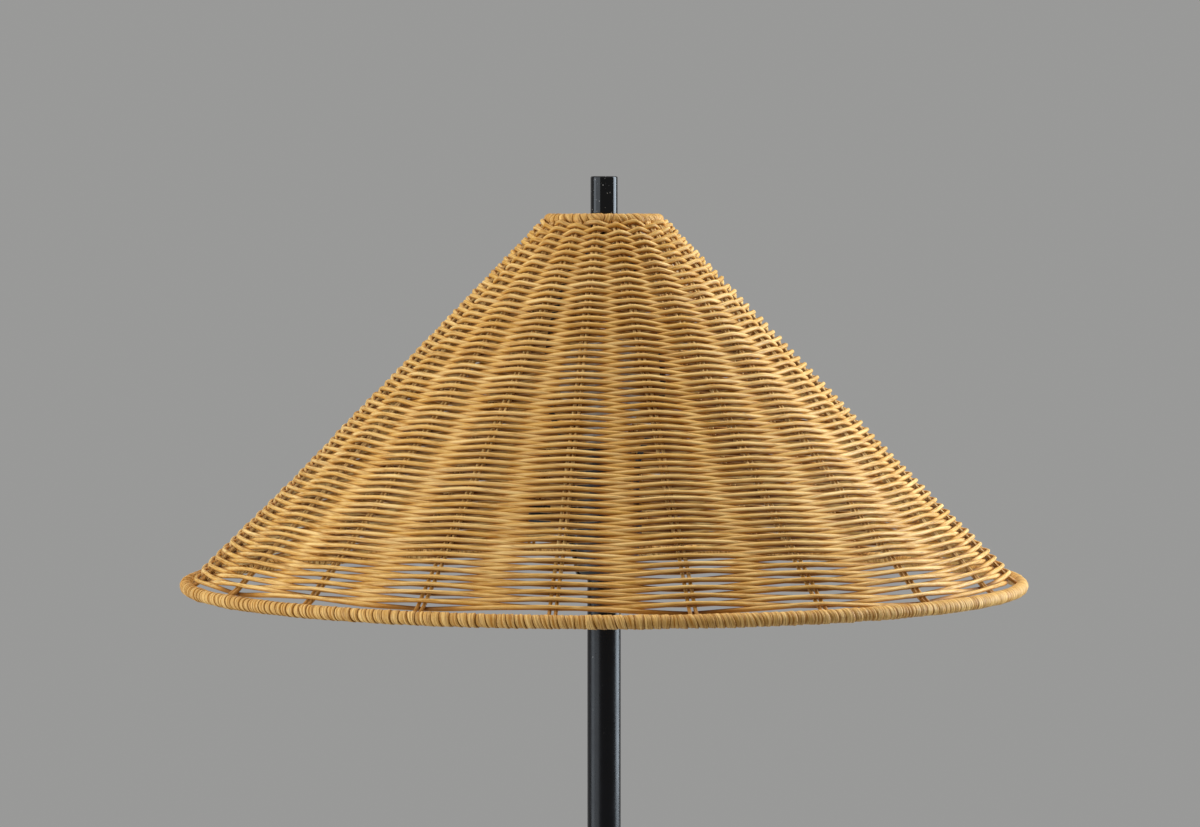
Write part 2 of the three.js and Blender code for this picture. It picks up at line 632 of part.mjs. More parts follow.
// Harp: one bent wire with a drilled boss at its top
function makeHarpFrame() {
  const side = (sign) => {
    const at = (r, z) => new THREE.Vector3(sign * r, 0, z);
    const legTop = HARP_LEG_HEIGHT;
    const legPull = legTop + (HARP_BELLY_HEIGHT - legTop) / 2;
    const belly = new THREE.CubicBezierCurve3(
      at(HARP_LEG_RADIUS, legTop),
      at(HARP_LEG_RADIUS, legPull),
      at(HARP_BELLY_RADIUS, legTop + (HARP_BELLY_HEIGHT - legTop) / 3),
      at(HARP_BELLY_RADIUS, HARP_BELLY_HEIGHT),
    );
    const shoulder = new THREE.CubicBezierCurve3(
      at(HARP_BELLY_RADIUS, HARP_BELLY_HEIGHT),
      at(HARP_BELLY_RADIUS, (HARP_BELLY_HEIGHT + HARP_HEIGHT) / 2),
      at(HARP_BELLY_RADIUS / 2, HARP_HEIGHT),
      at(BOSS_DIAMETER / 2, HARP_HEIGHT),
    );
    const leg = new THREE.LineCurve3(at(HARP_LEG_RADIUS, 0), at(HARP_LEG_RADIUS, legTop));
    const crown = new THREE.LineCurve3(at(BOSS_DIAMETER / 2, HARP_HEIGHT), at(0, HARP_HEIGHT));
    return [leg, belly, shoulder, crown];
  };
  const rise = side(-1);
  const sampled = [];
  const steps = [1, HARP_BELLY_STEPS, HARP_SHOULDER_STEPS, 1];
  rise.forEach((curve, i) => sampled.push(...curve.getPoints(steps[i]).slice(i ? 1 : 0)));
  const descent = sampled.slice(0, -1).reverse().map((p) => new THREE.Vector3(-p.x, p.y, p.z));
  const wire = bentRod([...sampled, ...descent], HARP_WIRE_DIAMETER, WIRE_SIDES);
  const bossBottom = HARP_HEIGHT - BOSS_THICKNESS / 2;
  const boss = bar(BOSS_DIAMETER, bossBottom, bossBottom + BOSS_THICKNESS, ROUND_SIDES);
  const holeDiameter = STUD_DIAMETER + 2 * SEAT_GAP;
  const hole = bar(holeDiameter, bossBottom - CUT_OVERRUN, HARP_HEIGHT + BOSS_THICKNESS, SMALL_SIDES);
  const harp = piece("harp_frame", cut(join(wire, boss), hole), brass);
  harp.position.z = harpFoot;
  return harp;
}

function makeHarp() {
  const group = new THREE.Group();
  group.rotation.z = THREE.MathUtils.degToRad(-HARP_DEGREES);
  group.add(makeSaddle(), makeHarpFrame());
  const sleeveBore = HARP_WIRE_DIAMETER + 2 * SEAT_GAP;
  const sleeveBottom = saddleArmTop + SEAT_GAP;
  const sleeveTop = sleeveBottom + SLEEVE_LENGTH;
  const sleeveTube = tube(SLEEVE_DIAMETER, sleeveBore, sleeveBottom, sleeveTop, SMALL_SIDES);
  [["harp_sleeve_left", -1], ["harp_sleeve_right", 1]].forEach(([name, side]) => {
    const sleeve = piece(name, sleeveTube, blackPaint);
    sleeve.position.x = side * HARP_LEG_RADIUS;
    group.add(sleeve);
  });

  const rivetTop = harpTop - BOSS_THICKNESS / 2 - SEAT_GAP;
  const stud = STUD_DIAMETER / 2;
  const shoulderTop = studShoulder + STUD_SHOULDER_THICKNESS;
  const studTop = hubBottom + STUD_LENGTH;
  group.add(piece("harp_stud", turned([
    [0, rivetTop - RIVET_HEAD_THICKNESS],
    [RIVET_HEAD_DIAMETER / 2, rivetTop - RIVET_HEAD_THICKNESS],
    [RIVET_HEAD_DIAMETER / 2, rivetTop],
    [stud, rivetTop],
    [stud, studShoulder],
    [STUD_SHOULDER_DIAMETER / 2, studShoulder],
    [STUD_SHOULDER_DIAMETER / 2, shoulderTop],
    [stud, shoulderTop],
    [stud, studTop - STUD_TIP_CHAMFER],
    [stud - STUD_TIP_CHAMFER, studTop],
    [0, studTop],
  ], SMALL_SIDES), brass));
  return group;
}

// A point of the shade, from a turn, a distance down the slope, and offsets off it and aside
function slopePoint(turn, along, out, aside) {
  const radius = TOP_RING_RADIUS + along * slopeRun + out * slopeDrop;
  const height = TOP_RING_HEIGHT - along * slopeDrop + out * slopeRun;
  const angle = THREE.MathUtils.degToRad(turn);
  return new THREE.Vector3(
    radius * Math.sin(angle) + aside * Math.cos(angle),
    -radius * Math.cos(angle) + aside * Math.sin(angle),
    height,
  );
}

// Outline of a binding round a wire, slotted towards the stakes, about a [radius, height] centre
function bindingOutline(centre, outerDiameter, wireDiameter, slotAngle, outerSteps, innerSteps) {
  const slotHalf = STAKE_DIAMETER / 2 + SEAT_GAP;
  const bore = (wireDiameter / 2 + SEAT_GAP) / Math.cos(Math.PI / (innerSteps + 1));
  const edge = (radius) => THREE.MathUtils.radToDeg(Math.asin(slotHalf / radius));
  const outerEdge = edge(outerDiameter / 2);
  const boreEdge = edge(bore);
  return [
    ...arc(...centre, outerDiameter / 2, slotAngle + outerEdge, slotAngle + 360 - outerEdge, outerSteps),
    ...arc(...centre, bore, slotAngle + 360 - boreEdge, slotAngle + boreEdge, innerSteps),
  ];
}

const weaveTop = TOP_BINDING_DIAMETER / 2 + SEAT_GAP;
const weaveFoot = slopeLength - WEAVE_FOOT_GAP;
const weaveHalf = STAKE_DIAMETER / 2 + STRAND_DIAMETER;
const rimCentre = [RIM_RING_RADIUS, 0];
const topCentre = [TOP_RING_RADIUS, TOP_RING_HEIGHT];
const rimSides = STAKE_COUNT * RIM_SIDES_PER_STAKE;
const topSides = STAKE_COUNT * TOP_SIDES_PER_STAKE;
const kneeRadius = TOP_RING_RADIUS + weaveFoot * slopeRun;
const kneeHeight = TOP_RING_HEIGHT - weaveFoot * slopeDrop;

// Outline of a ring of wire, about a [radius, height] centre
function wireOutline(centre, diameter) {
  return arc(...centre, diameter / 2, 0, 360, WIRE_SIDES).slice(0, WIRE_SIDES);
}

// Woven wall: thick over each pair of stakes, thin where the strands cross between the pairs
function makeWeave() {
  const stations = STAKE_COUNT * WEAVE_STATIONS_PER_STAKE;
  const positions = [];
  const corners = [[weaveTop, 1], [weaveFoot, 1], [weaveFoot, -1], [weaveTop, -1]];
  for (let station = 0; station < stations; station += 1) {
    const turn = STAKE_START_DEGREES + (station * 360) / stations;
    const phase = (2 * Math.PI * station) / WEAVE_STATIONS_PER_STAKE;
    const swell = (1 + Math.cos(phase)) / 2;
    const half = STRAND_DIAMETER / 2 + (weaveHalf - STRAND_DIAMETER / 2) * swell;
    corners.forEach(([along, side]) => positions.push(...slopePoint(turn, along, side * half, 0)));
  }
  const index = [];
  const ring = corners.length;
  for (let station = 0; station < stations; station += 1) {
    const here = station * ring;
    const next = ((station + 1) % stations) * ring;
    for (let i = 0; i < ring; i += 1) {
      const j = (i + 1) % ring;
      index.push(here + i, here + j, next + j, here + i, next + j, next + i);
    }
  }
  const wall = new THREE.BufferGeometry();
  wall.setAttribute("position", new THREE.Float32BufferAttribute(positions, 3));
  wall.setIndex(index);
  const tunnelWidth = STAKE_SPACING + STAKE_DIAMETER + 2 * SEAT_GAP;
  const tunnelDepth = STAKE_DIAMETER + 2 * SEAT_GAP;
  const tunnelLength = weaveFoot - weaveTop + 2 * CUT_OVERRUN;
  const tunnels = Array.from({ length: STAKE_COUNT }, (_, i) => {
    const turn = STAKE_START_DEGREES + (i * 360) / STAKE_COUNT;
    const lean = Math.atan2(slopeRun, slopeDrop);
    return new THREE.BoxGeometry(tunnelWidth, tunnelDepth, tunnelLength)
      .rotateX(-lean)
      .rotateZ(THREE.MathUtils.degToRad(turn))
      .translate(...slopePoint(turn, (weaveTop + weaveFoot) / 2, 0, 0));
  });
  return cut(wall, ...tunnels, ...weaveSlits());
}

// Level slits between the stakes that stand for the weave's gaps, closest together at its open foot
function weaveSlits() {
  const depth = (2 * weaveHalf + SLIT_HEIGHT * slopeRun) / slopeDrop + 2 * CUT_OVERRUN;
  const slits = [];
  for (let row = 1; row <= SLIT_ROWS; row += 1) {
    const footShare = (row / (SLIT_ROWS + 1)) ** 2;
    const along = weaveFoot - (weaveFoot - weaveTop) * footShare;
    const chord = 2 * (TOP_RING_RADIUS + along * slopeRun) * Math.sin(Math.PI / STAKE_COUNT);
    for (let bay = 0; bay < STAKE_COUNT; bay += 1) {
      const turn = STAKE_START_DEGREES + ((bay + 0.5) * 360) / STAKE_COUNT;
      slits.push(new THREE.BoxGeometry(chord - 2 * SLIT_END_INSET, depth, SLIT_HEIGHT)
        .rotateZ(THREE.MathUtils.degToRad(turn))
        .translate(...slopePoint(turn, along, 0, 0)));
    }
  }
  return slits;
}

// A pair of stakes: one rod bent double under the top ring, both ends bound in at the rim
function makeStake(turn) {
  const half = STAKE_SPACING / 2;
  const bendTop = (TOP_WIRE_DIAMETER + STAKE_DIAMETER) / 2 + SEAT_GAP;
  const lastRun = Math.hypot(RIM_RING_RADIUS - kneeRadius, kneeHeight);
  const endShare = 1 - (RIM_WIRE_DIAMETER / 2 + SEAT_GAP) / lastRun;
  const endAlong = (RIM_RING_RADIUS - kneeRadius) * slopeRun + kneeHeight * slopeDrop;
  const endOut = (RIM_RING_RADIUS - kneeRadius) * slopeDrop - kneeHeight * slopeRun;
  const corner = (along, out, aside) => slopePoint(turn, along, out, aside);
  const leg = (side) => [
    corner(weaveFoot + endAlong * endShare, endOut * endShare, side * half),
    corner(weaveFoot, 0, side * half),
    corner(bendTop + half, 0, side * half),
  ];
  const crown = arc(0, 0, half, 180, 0, 4).slice(1, -1)
    .map(([aside, up]) => corner(bendTop + half - up, 0, aside));
  return bentRod([...leg(-1), ...crown, ...leg(1).reverse()], STAKE_DIAMETER, WIRE_SIDES);
}

// Fitter: the wire ring at the top of the shade with a drilled hub hung in it on arms
function fitterArms(diameter) {
  const armFoot = TOP_RING_HEIGHT - HUB_DROP + HUB_THICKNESS / 2;
  const hubRadius = HUB_DIAMETER / 2 - SPIDER_ARM_DIAMETER / 2;
  const run = TOP_RING_RADIUS - hubRadius;
  const rise = TOP_RING_HEIGHT - armFoot;
  const length = Math.hypot(run, rise);
  return Array.from({ length: SPIDER_ARM_COUNT }, (_, i) => {
    const turn = SPIDER_ARM_DEGREES + (i * 360) / SPIDER_ARM_COUNT;
    return bar(diameter, 0, length, WIRE_SIDES)
      .rotateX(Math.atan2(run, rise))
      .translate(0, -hubRadius, armFoot)
      .rotateZ(THREE.MathUtils.degToRad(turn));
  });
}

function makeFitter() {
  const ringOutline = wireOutline(topCentre, TOP_WIRE_DIAMETER);
  const ring = turned(ringOutline, topSides, STAKE_START_DEGREES);
  const hubFloor = TOP_RING_HEIGHT - HUB_DROP;
  const hub = bar(HUB_DIAMETER, hubFloor, hubFloor + HUB_THICKNESS, ROUND_SIDES);
  const holeDiameter = STUD_DIAMETER + 2 * SEAT_GAP;
  const hole = bar(holeDiameter, hubFloor - CUT_OVERRUN, TOP_RING_HEIGHT, SMALL_SIDES);
  return cut(join(ring, hub, ...fitterArms(SPIDER_ARM_DIAMETER)), hole);
}

function makeShade() {
  const group = new THREE.Group();
  group.position.z = rimHeight;
  const slopeAngle = THREE.MathUtils.radToDeg(Math.atan2(-slopeDrop, slopeRun));
  const topOutline = bindingOutline(topCentre, TOP_BINDING_DIAMETER, TOP_WIRE_DIAMETER, slopeAngle, 7, 5);
  const topBinding = cut(
    turned(topOutline, topSides, STAKE_START_DEGREES),
    ...fitterArms(SPIDER_ARM_DIAMETER + 2 * SEAT_GAP),
  );

  const rimSlot = THREE.MathUtils.radToDeg(Math.atan2(kneeHeight, kneeRadius - RIM_RING_RADIUS));
  const rimOutline = bindingOutline(rimCentre, RIM_BINDING_DIAMETER, RIM_WIRE_DIAMETER, rimSlot, 7, 5);
  const rimWire = wireOutline(rimCentre, RIM_WIRE_DIAMETER);
  group.add(
    piece("shade_fitter", makeFitter(), zincSteel),
    piece("shade_top_binding", topBinding, caneBinding),
    piece("shade_rim_ring", turned(rimWire, rimSides, STAKE_START_DEGREES), zincSteel),
    piece("shade_rim_binding", turned(rimOutline, rimSides, STAKE_START_DEGREES), caneBinding),
    piece("shade_weave", makeWeave(), caneStrand),
  );
  for (let i = 0; i < STAKE_COUNT; i += 1) {
    const name = "stake_pair_" + String(i + 1).padStart(2, "0");
    const turn = STAKE_START_DEGREES + (i * 360) / STAKE_COUNT;
    group.add(piece(name, makeStake(turn), caneStake));
  }
  return group;
}

// Finial: a plain round bar over a threaded insert
function makeFinial() {
  const group = new THREE.Group();
  group.position.z = finialBottom;
  const radius = FINIAL_DIAMETER / 2;
  const bore = FINIAL_BORE_DIAMETER / 2;
  const edgeR = radius - FINIAL_EDGE_RADIUS;
  group.add(
    piece("finial", turned([
      [bore, 0],
      ...arc(edgeR, FINIAL_EDGE_RADIUS, FINIAL_EDGE_RADIUS, -90, 0, 2),
      ...arc(edgeR, FINIAL_LENGTH - FINIAL_EDGE_RADIUS, FINIAL_EDGE_RADIUS, 0, 90, 3),
      [0, FINIAL_LENGTH],
      [0, FINIAL_BORE_DEPTH],
      [bore, FINIAL_BORE_DEPTH],
    ], ROUND_SIDES), finialPaint),
    piece("finial_insert", tube(
      FINIAL_BORE_DIAMETER - 2 * SEAT_GAP,
      STUD_DIAMETER + 2 * SEAT_GAP,
      0,
      INSERT_LENGTH,
      SMALL_SIDES,
    ), brass),
  );
  return group;
}

const lamp = new THREE.Group();
lamp.name = "floor_lamp";
lamp.add(makeBase(), makePole(), makeSocket(), makeBulb(), makeHarp(), makeShade(), makeFinial());

export default lamp;
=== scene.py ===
# Floor lamp with a cone shade of woven rattan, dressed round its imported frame.
# Metres, +Z up. Turns about the lamp's axis are counted from -Y towards +X.
import json
import math

import bpy
import numpy as np
from mathutils import Matrix, Vector


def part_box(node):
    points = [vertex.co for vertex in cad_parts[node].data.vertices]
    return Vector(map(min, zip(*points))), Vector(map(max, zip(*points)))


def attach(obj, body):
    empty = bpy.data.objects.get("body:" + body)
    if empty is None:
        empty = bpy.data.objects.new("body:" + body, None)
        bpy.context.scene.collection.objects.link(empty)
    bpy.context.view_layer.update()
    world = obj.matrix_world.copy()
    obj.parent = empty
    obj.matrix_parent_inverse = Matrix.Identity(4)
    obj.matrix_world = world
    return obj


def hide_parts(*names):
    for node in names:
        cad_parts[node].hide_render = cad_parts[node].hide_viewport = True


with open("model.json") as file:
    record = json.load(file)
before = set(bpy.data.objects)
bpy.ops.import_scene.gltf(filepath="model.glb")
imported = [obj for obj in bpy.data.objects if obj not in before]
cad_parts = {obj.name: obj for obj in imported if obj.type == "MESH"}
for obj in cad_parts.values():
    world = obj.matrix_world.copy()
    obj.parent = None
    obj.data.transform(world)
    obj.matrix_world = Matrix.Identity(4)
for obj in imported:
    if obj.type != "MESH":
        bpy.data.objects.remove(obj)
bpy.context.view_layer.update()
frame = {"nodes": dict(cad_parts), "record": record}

# Gap at a seat, rounding of an edge, and the share of a head's thickness that is rounded
SEAT_GAP = 0.0003
SOFT_EDGE = 0.0004
ROUNDED_SHARE = 0.8

# Shade: the slope is the mid-surface of the weave, where the stakes lie. Its foot bends outwards a little.
TOP_RING_RADIUS = 0.036
TOP_RING_RISE = 0.2407
SLOPE_FOOT_RADIUS = 0.2694
RIM_RING_RADIUS = 0.2757
RIM_WIRE = 0.005
TOP_WIRE = 0.004
RIM_BINDING = 0.0089
TOP_BINDING = 0.0074
FLARE = 0.0022
FLARE_REACH = 0.095

# Stakes
STAKE_START = math.radians(-6.6)
STAKE_DIAMETER = 0.0024
STAKE_SPACING = 0.0039
STAKE_TOP_SPACING = 0.0027
KNEE_GAP = 0.007
STAKE_SWAY = 0.00025
SWAY_RATE = 55
STAKE_SHIFT = 0.61
STAKE_TONES = (0.2, 0.9)
STAKE_SHADE = 0.5
STAKE_SHADE_REACH = 0.045
STAKE_SIDES = 10
STAKE_STEPS = 60
CROWN_STEPS = 8

# Rows of the weave
TOP_ROW_PITCH = 0.00308
ROW_PITCH = 0.00287
FOOT_ROW_PITCH = 0.00338
FOOT_ROW_REACH = 0.037
FOOT_GAP = 0.0022
FOOT_LIFT = 0.0030
FOOT_LIFT_TURN = -0.45
FOOT_LIFT_WAVES = 2
TWINED_ROWS = 4
TWINE_RISE = 0.0008
WANDER = 0.0007
TOP_WANDER = 0.5
WAVE_DRIFT = 0.06
ROW_JITTER = 0.00022
FOOT_JITTER = 0.8
KNOTS_PER_STAKE = 2
ROW_SHIFT = 0.137
WEAVE_PIECES = 5

# Strands
STRAND_DIAMETER = 0.0032
STRAND_SWING = 0.00275
SWING_SPREAD = 0.09
SWING_LIMIT = 1.5
FLAT_OVER_STAKES = 0.0024
FLAT_SHARE = 0.05
ARM_SOFTNESS = 0.15
STAKE_PINCH = 0.16
THICKNESS_SPREAD = 0.045
THICKNESS_DRIFT = 3.7
STRAND_SIDES = 8
CROSSING_STEPS = 8
EDGE_SHADE = 0.43
PIT_SHADE = 0.35
LENGTHS_PER_ROW = 3
TONE_MEAN = 0.55
TONE_SPREAD = 0.24
TONE_SWELL = 0.1
TONE_WAVES = 5
TOP_DARKENING = 0.42
TOP_DARK_ROWS = 24

# Cane wraps round the two rings
RIM_WRAPS = 310
TOP_WRAPS = 46
RIM_LEAN = 0.1
TOP_LEAN = 0.42
WRAP_WIDTHS = (0.82, 1.18)
WRAP_INSET = 0.00012
WRAP_BULGE = 0.00013
WRAP_TILT = 0.00016
WRAP_STAND_OUT = 0.0003
WRAP_GROOVE = 0.0006
WRAP_LAP = 0.0004
WRAP_SPLIT = 0.0003
WRAP_EDGE_POWER = 14
WRAP_EDGE_SHADE = 0.85
SPLIT_SHADE = 0.6
SPLIT_CHANCE = 0.22
WRAP_TONES = (0.25, 0.95)
WRAP_SIDES = 20
WRAP_SHARES = (0.0, 0.02, 0.08, 0.3, 0.5, 0.7, 0.92, 0.98)
SPLIT_COLUMN = 4

# Base, pole and socket
COVER_WALL = 0.0012
COVER_EDGE = 0.006
COLLAR_EDGE = 0.0025
TUBE_WALL = 0.0012
NIPPLE_HOLE_RADIUS = 0.0051
GLAND_HEIGHT = 0.009
GLAND_BORE = 0.005
GLAND_DIAMETER = 0.008
GLAND_FLANGE = 0.002
PLUG_FLANGE = 0.002
SOCKET_CORNER = 0.006
SHELL_LIP = 0.001

# Turn knob
KNOB_LOBES = 10
KNOB_LOBE_DEPTH = 0.0008
KNOB_LOBE_STEPS = 12
KNOB_LENGTH = 0.0145
SPINDLE_DIAMETER = 0.004

# Bulb
BULB_NECK = 0.022
BULB_WALL = 0.001
BULB_CAP_RECESS = 0.005
BALL_START = math.radians(-36)
BALL_STEPS = 39
WAIST_STEPS = 12

# Harp, in its own plane before the turn
HARP_TURN = math.radians(-45)
HARP_WIRE = 0.004
HARP_LEG_RADIUS = 0.03
HARP_LEG_HEIGHT = 0.022
HARP_BELLY_RADIUS = 0.054
HARP_BELLY_HEIGHT = 0.092
HARP_HEIGHT = 0.176
BELLY_STEPS = 28
SHOULDER_STEPS = 32
BOSS_DIAMETER = 0.014
BOSS_THICKNESS = 0.004
STUD_DIAMETER = 0.0063
STUD_PITCH = 0.00095
STUD_SHOULDER = 0.016
STUD_SHOULDER_THICKNESS = 0.0025
RIVET_HEAD = 0.010
RIVET_HEAD_THICKNESS = 0.002
SADDLE_THICKNESS = 0.0016
SADDLE_WIDTH = 0.009
SADDLE_PLATE = 0.020
SADDLE_FOOT_RADIUS = 0.0215
SADDLE_ARM_HEIGHT = 0.038
SADDLE_BEND = 0.003
SADDLE_ARM_LEAN = 0.22
SADDLE_BEND_STEPS = 8

# Spider
HUB_DIAMETER = 0.024
HUB_THICKNESS = 0.002
ARM_COUNT = 3
ARM_START = math.radians(60)
ARM_DIAMETER = 0.0032
ARM_RISE = 0.0035
ARM_HUB_REACH = 0.008
ARM_RING_REACH = 0.007
ARM_STEPS = 16

# Finial
FINIAL_EDGE = 0.001
FINIAL_BORE = 0.0126
FINIAL_BORE_DEPTH = 0.023
FINIAL_EDGE_STEPS = 8

# The photograph's frame and the place that it was taken from
LENS = 122.4
SENSOR = 36
CAMERA_PLACE = (-0.0027, -2.7, 1.4851)
CAMERA_PITCH = math.radians(-2.594)
FARTHEST_SEEN = 50

# Floor and surround. Glossy and clear pieces meet the wall's grey, all others a dimmer light.
FLOOR_RADIUS = 3.0
FLOOR_GREY = (0.42, 0.42, 0.415)
WALL_GREY = (0.32, 0.32, 0.315)
DIM_LIGHT = (0.17, 0.166, 0.162)

# Patterns of cane: how far each is drawn out along it, its scale and its detail
FIBRE_NOISE = (0.06, 1900, 2.0)
STREAK_NOISE = (0.035, 750, 2.0)
SEAM_NOISE = (0.05, 480, 1.0)
PATCH_NOISE = (1.0, 38, 2.0)
SPECK_NOISE = (1.0, 3200, 2.0)

# What shows of each pattern: where it starts, where it is full, and how strong it is there
WARM_PATCHES = (0.52, 0.72, 0.75)
DEEP_STREAKS = (0.45, 0.58, 0.8)
DARK_SEAMS = (0.06, 0.0, 0.65)
PALE_FIBRES = (0.45, 0.62, 0.5)
# Painted shade, in the next two: along the cane's edges and in the pits of the weave
PAINTED_EDGE_SHADE = (0.0, 0.5, 0.8)
PAINTED_PIT_SHADE = (0.4, 0.95, 0.96)
DARK_SPECKS = (0.735, 0.76, 0.8)

SEAM_BROWN = (0.3, 0.11, 0.018)
# Colours of the painted shade: amber along the cane's edges, dark brown in the pits
EDGE_SHADE_AMBER = (0.46, 0.17, 0.010)
PIT_SHADE_BROWN = (0.14, 0.042, 0.003)
SPECK_BROWN = (0.13, 0.055, 0.018)
CANE_GLOSS = 0.18
CANE_RELIEF = 0.0003
STREAK_RELIEF = 1.5

# Patterns of the other finishes: where most values of a noise lie, and where they lie more closely
NOISE_SPREAD = (0.3, 0.7)
NOISE_MIDDLE = (0.35, 0.65)
DUST_START = 0.8
DUST_FULL = 0.83
DUST_GREY = (0.5, 0.48, 0.45)
PEEL_RELIEF = 0.00003
BRUSHED_RELIEF = 0.00002
MOULDED_RELIEF = 0.00005

# Facets, and how much of its shorter side an arc at a corner takes at most
ROUND_STEPS = 96
SMALL_STEPS = 48
WIRE_SIDES = 16
EDGE_STEPS = 5
ARC_SHARE = 0.49
ON_AXIS = 1e-9
FULL_TURN = 2 * math.pi
UP = np.array((0.0, 0.0, 1.0))

slope_length = math.hypot(SLOPE_FOOT_RADIUS - TOP_RING_RADIUS, TOP_RING_RISE)
slope_run = (SLOPE_FOOT_RADIUS - TOP_RING_RADIUS) / slope_length
slope_drop = TOP_RING_RISE / slope_length
rim_low, rim_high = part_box("shade_rim_ring")
rim_height = (rim_low.z + rim_high.z) / 2
top_ring_height = rim_height + TOP_RING_RISE
stake_nodes = sorted(name for name in frame["nodes"] if name.startswith("stake_pair_"))
stake_step = FULL_TURN / len(stake_nodes)
chance = np.random.default_rng(seed=20)
finishes = {}


# Node materials
class Nodes:
    """The node tree of a material or of the world."""

    def __init__(self, tree):
        self.tree = tree

    def give(self, socket, value):
        """Links or sets an input. A colour is given without its alpha."""
        if isinstance(value, bpy.types.NodeSocket):
            self.tree.links.new(value, socket)
        else:
            socket.default_value = (*value, 1.0) if socket.type == "RGBA" else value

    def node(self, kind, inputs=None, **settings):
        node = self.tree.nodes.new(kind)
        for key, value in settings.items():
            setattr(node, key, value)
        for name, value in (inputs or {}).items():
            self.give(node.inputs[name], value)
        return node

    def math(self, operation, a, b=0.0, **settings):
        return self.node("ShaderNodeMath", {0: a, 1: b}, operation=operation, **settings).outputs[0]

    def mix(self, factor, a, b):
        return self.node("ShaderNodeMix", {0: factor, 6: a, 7: b}, data_type="RGBA").outputs[2]


class Finish(Nodes):
    """One node material, built round its Principled shader and kept in finishes under its name."""

    def __init__(self, name, roughness, metallic=0.0):
        finishes[name] = bpy.data.materials.new(name)
        finishes[name].use_nodes = True
        super().__init__(finishes[name].node_tree)
        self.shader = self.tree.nodes["Principled BSDF"]
        self.set("Roughness", roughness)
        self.set("Metallic", metallic)

    def set(self, name, value):
        self.give(self.shader.inputs[name], value)

    def object_place(self):
        return self.node("ShaderNodeTexCoord").outputs["Object"]

    def attribute(self, name, output="Fac"):
        return self.node("ShaderNodeAttribute", attribute_name=name).outputs[output]

    def stretched(self, place, stretch):
        return self.node("ShaderNodeVectorMath", {0: place, 1: stretch}, operation="MULTIPLY").outputs[0]

    def noise(self, place, scale, detail=3.0, roughness=0.55):
        inputs = {"Vector": place, "Scale": scale, "Detail": detail, "Roughness": roughness}
        return self.node("ShaderNodeTexNoise", inputs).outputs["Fac"]

    def range(self, value, start, full, most=1.0, least=0.0):
        inputs = {"Value": value, 1: start, 2: full, 3: least, 4: most}
        return self.node("ShaderNodeMapRange", inputs).outputs[0]

    def cloudy_roughness(self, cloud, least, most):
        self.set("Roughness", self.range(cloud, *NOISE_SPREAD, most, least))

    def bump(self, height, strength, distance):
        inputs = {"Height": height, "Strength": strength, "Distance": distance}
        self.set("Normal", self.node("ShaderNodeBump", inputs).outputs["Normal"])


def cane(name, pale, deep, warm, roughness=0.5, fibrous=1.0):
    """Peeled rattan: fibres along the cane and each length's own tone, with painted shade, amber and dark
    brown, where it lies against other cane.
    """
    finish = Finish(name, roughness)
    along = finish.attribute("cane", "Vector")
    painted_shade = finish.attribute("painted_shade")

    def pattern(drawn_out, scale, detail):
        return finish.noise(finish.stretched(along, (drawn_out, 1.0, 1.0)), scale, detail)

    fibres = pattern(*FIBRE_NOISE)
    streaks = pattern(*STREAK_NOISE)
    seams = finish.math("ABSOLUTE", finish.math("SUBTRACT", pattern(*SEAM_NOISE), 0.5))
    colour = finish.mix(finish.attribute("tone"), deep, pale)
    for shape, (start, full, strength), over, amount in (
        (pattern(*PATCH_NOISE), WARM_PATCHES, warm, 1.0),
        (streaks, DEEP_STREAKS, deep, fibrous),
        (seams, DARK_SEAMS, SEAM_BROWN, fibrous),
        (fibres, PALE_FIBRES, pale, 1.0),
        # Painted shade where cane lies against cane: amber at the edges, dark brown in the pits
        (painted_shade, PAINTED_EDGE_SHADE, EDGE_SHADE_AMBER, 1.0),
        (painted_shade, PAINTED_PIT_SHADE, PIT_SHADE_BROWN, 1.0),
        (pattern(*SPECK_NOISE), DARK_SPECKS, SPECK_BROWN, 1.0),
    ):
        colour = finish.mix(finish.range(shape, start, full, strength * amount), colour, over)
    finish.set("Base Color", colour)
    finish.cloudy_roughness(streaks, least=roughness - 0.08, most=roughness + 0.1)
    finish.set("Specular IOR Level", CANE_GLOSS)
    height = finish.math("ADD", fibres, finish.math("MULTIPLY", streaks, STREAK_RELIEF))
    finish.bump(height, strength=0.9, distance=CANE_RELIEF * fibrous)


def toned(colour, factor):
    return tuple(min(c * factor, 1.0) for c in colour)


def paint(name, colour, roughness, peel, gloss=0.5, dust=0.0):
    """Paint: a fine orange peel in its gloss, and a little pale dust."""
    finish = Finish(name, roughness)
    place = finish.object_place()
    cloud = finish.noise(place, scale=55)
    finish.cloudy_roughness(cloud, least=roughness * 0.85, most=roughness * 1.25)
    lint = finish.noise(finish.stretched(place, stretch=(1.0, 1.0, 0.8)), scale=760, detail=1.0)
    speck = finish.range(lint, DUST_START - dust, DUST_FULL - dust, most=0.8)
    tint = finish.mix(finish.range(cloud, *NOISE_MIDDLE), colour, toned(colour, factor=1.5))
    finish.set("Base Color", finish.mix(speck, tint, DUST_GREY))
    finish.set("Specular IOR Level", gloss)
    finish.bump(finish.noise(place, scale=1400, detail=2.0), peel, PEEL_RELIEF)


def metal(name, colour, roughness, brush):
    """Bare or plated metal with fine turning marks and cloudy handling marks."""
    finish = Finish(name, roughness, metallic=1.0)
    place = finish.object_place()
    marks = finish.noise(finish.stretched(place, stretch=(0.4, 0.4, 14.0)), scale=900)
    cloud = finish.noise(place, scale=120, detail=4.0)
    handled = finish.range(cloud, start=0.4, full=0.75, most=0.8)
    finish.set("Base Color", finish.mix(handled, colour, toned(colour, factor=0.72)))
    finish.cloudy_roughness(cloud, least=roughness * 0.75, most=roughness * 1.35)
    finish.bump(marks, brush, BRUSHED_RELIEF)


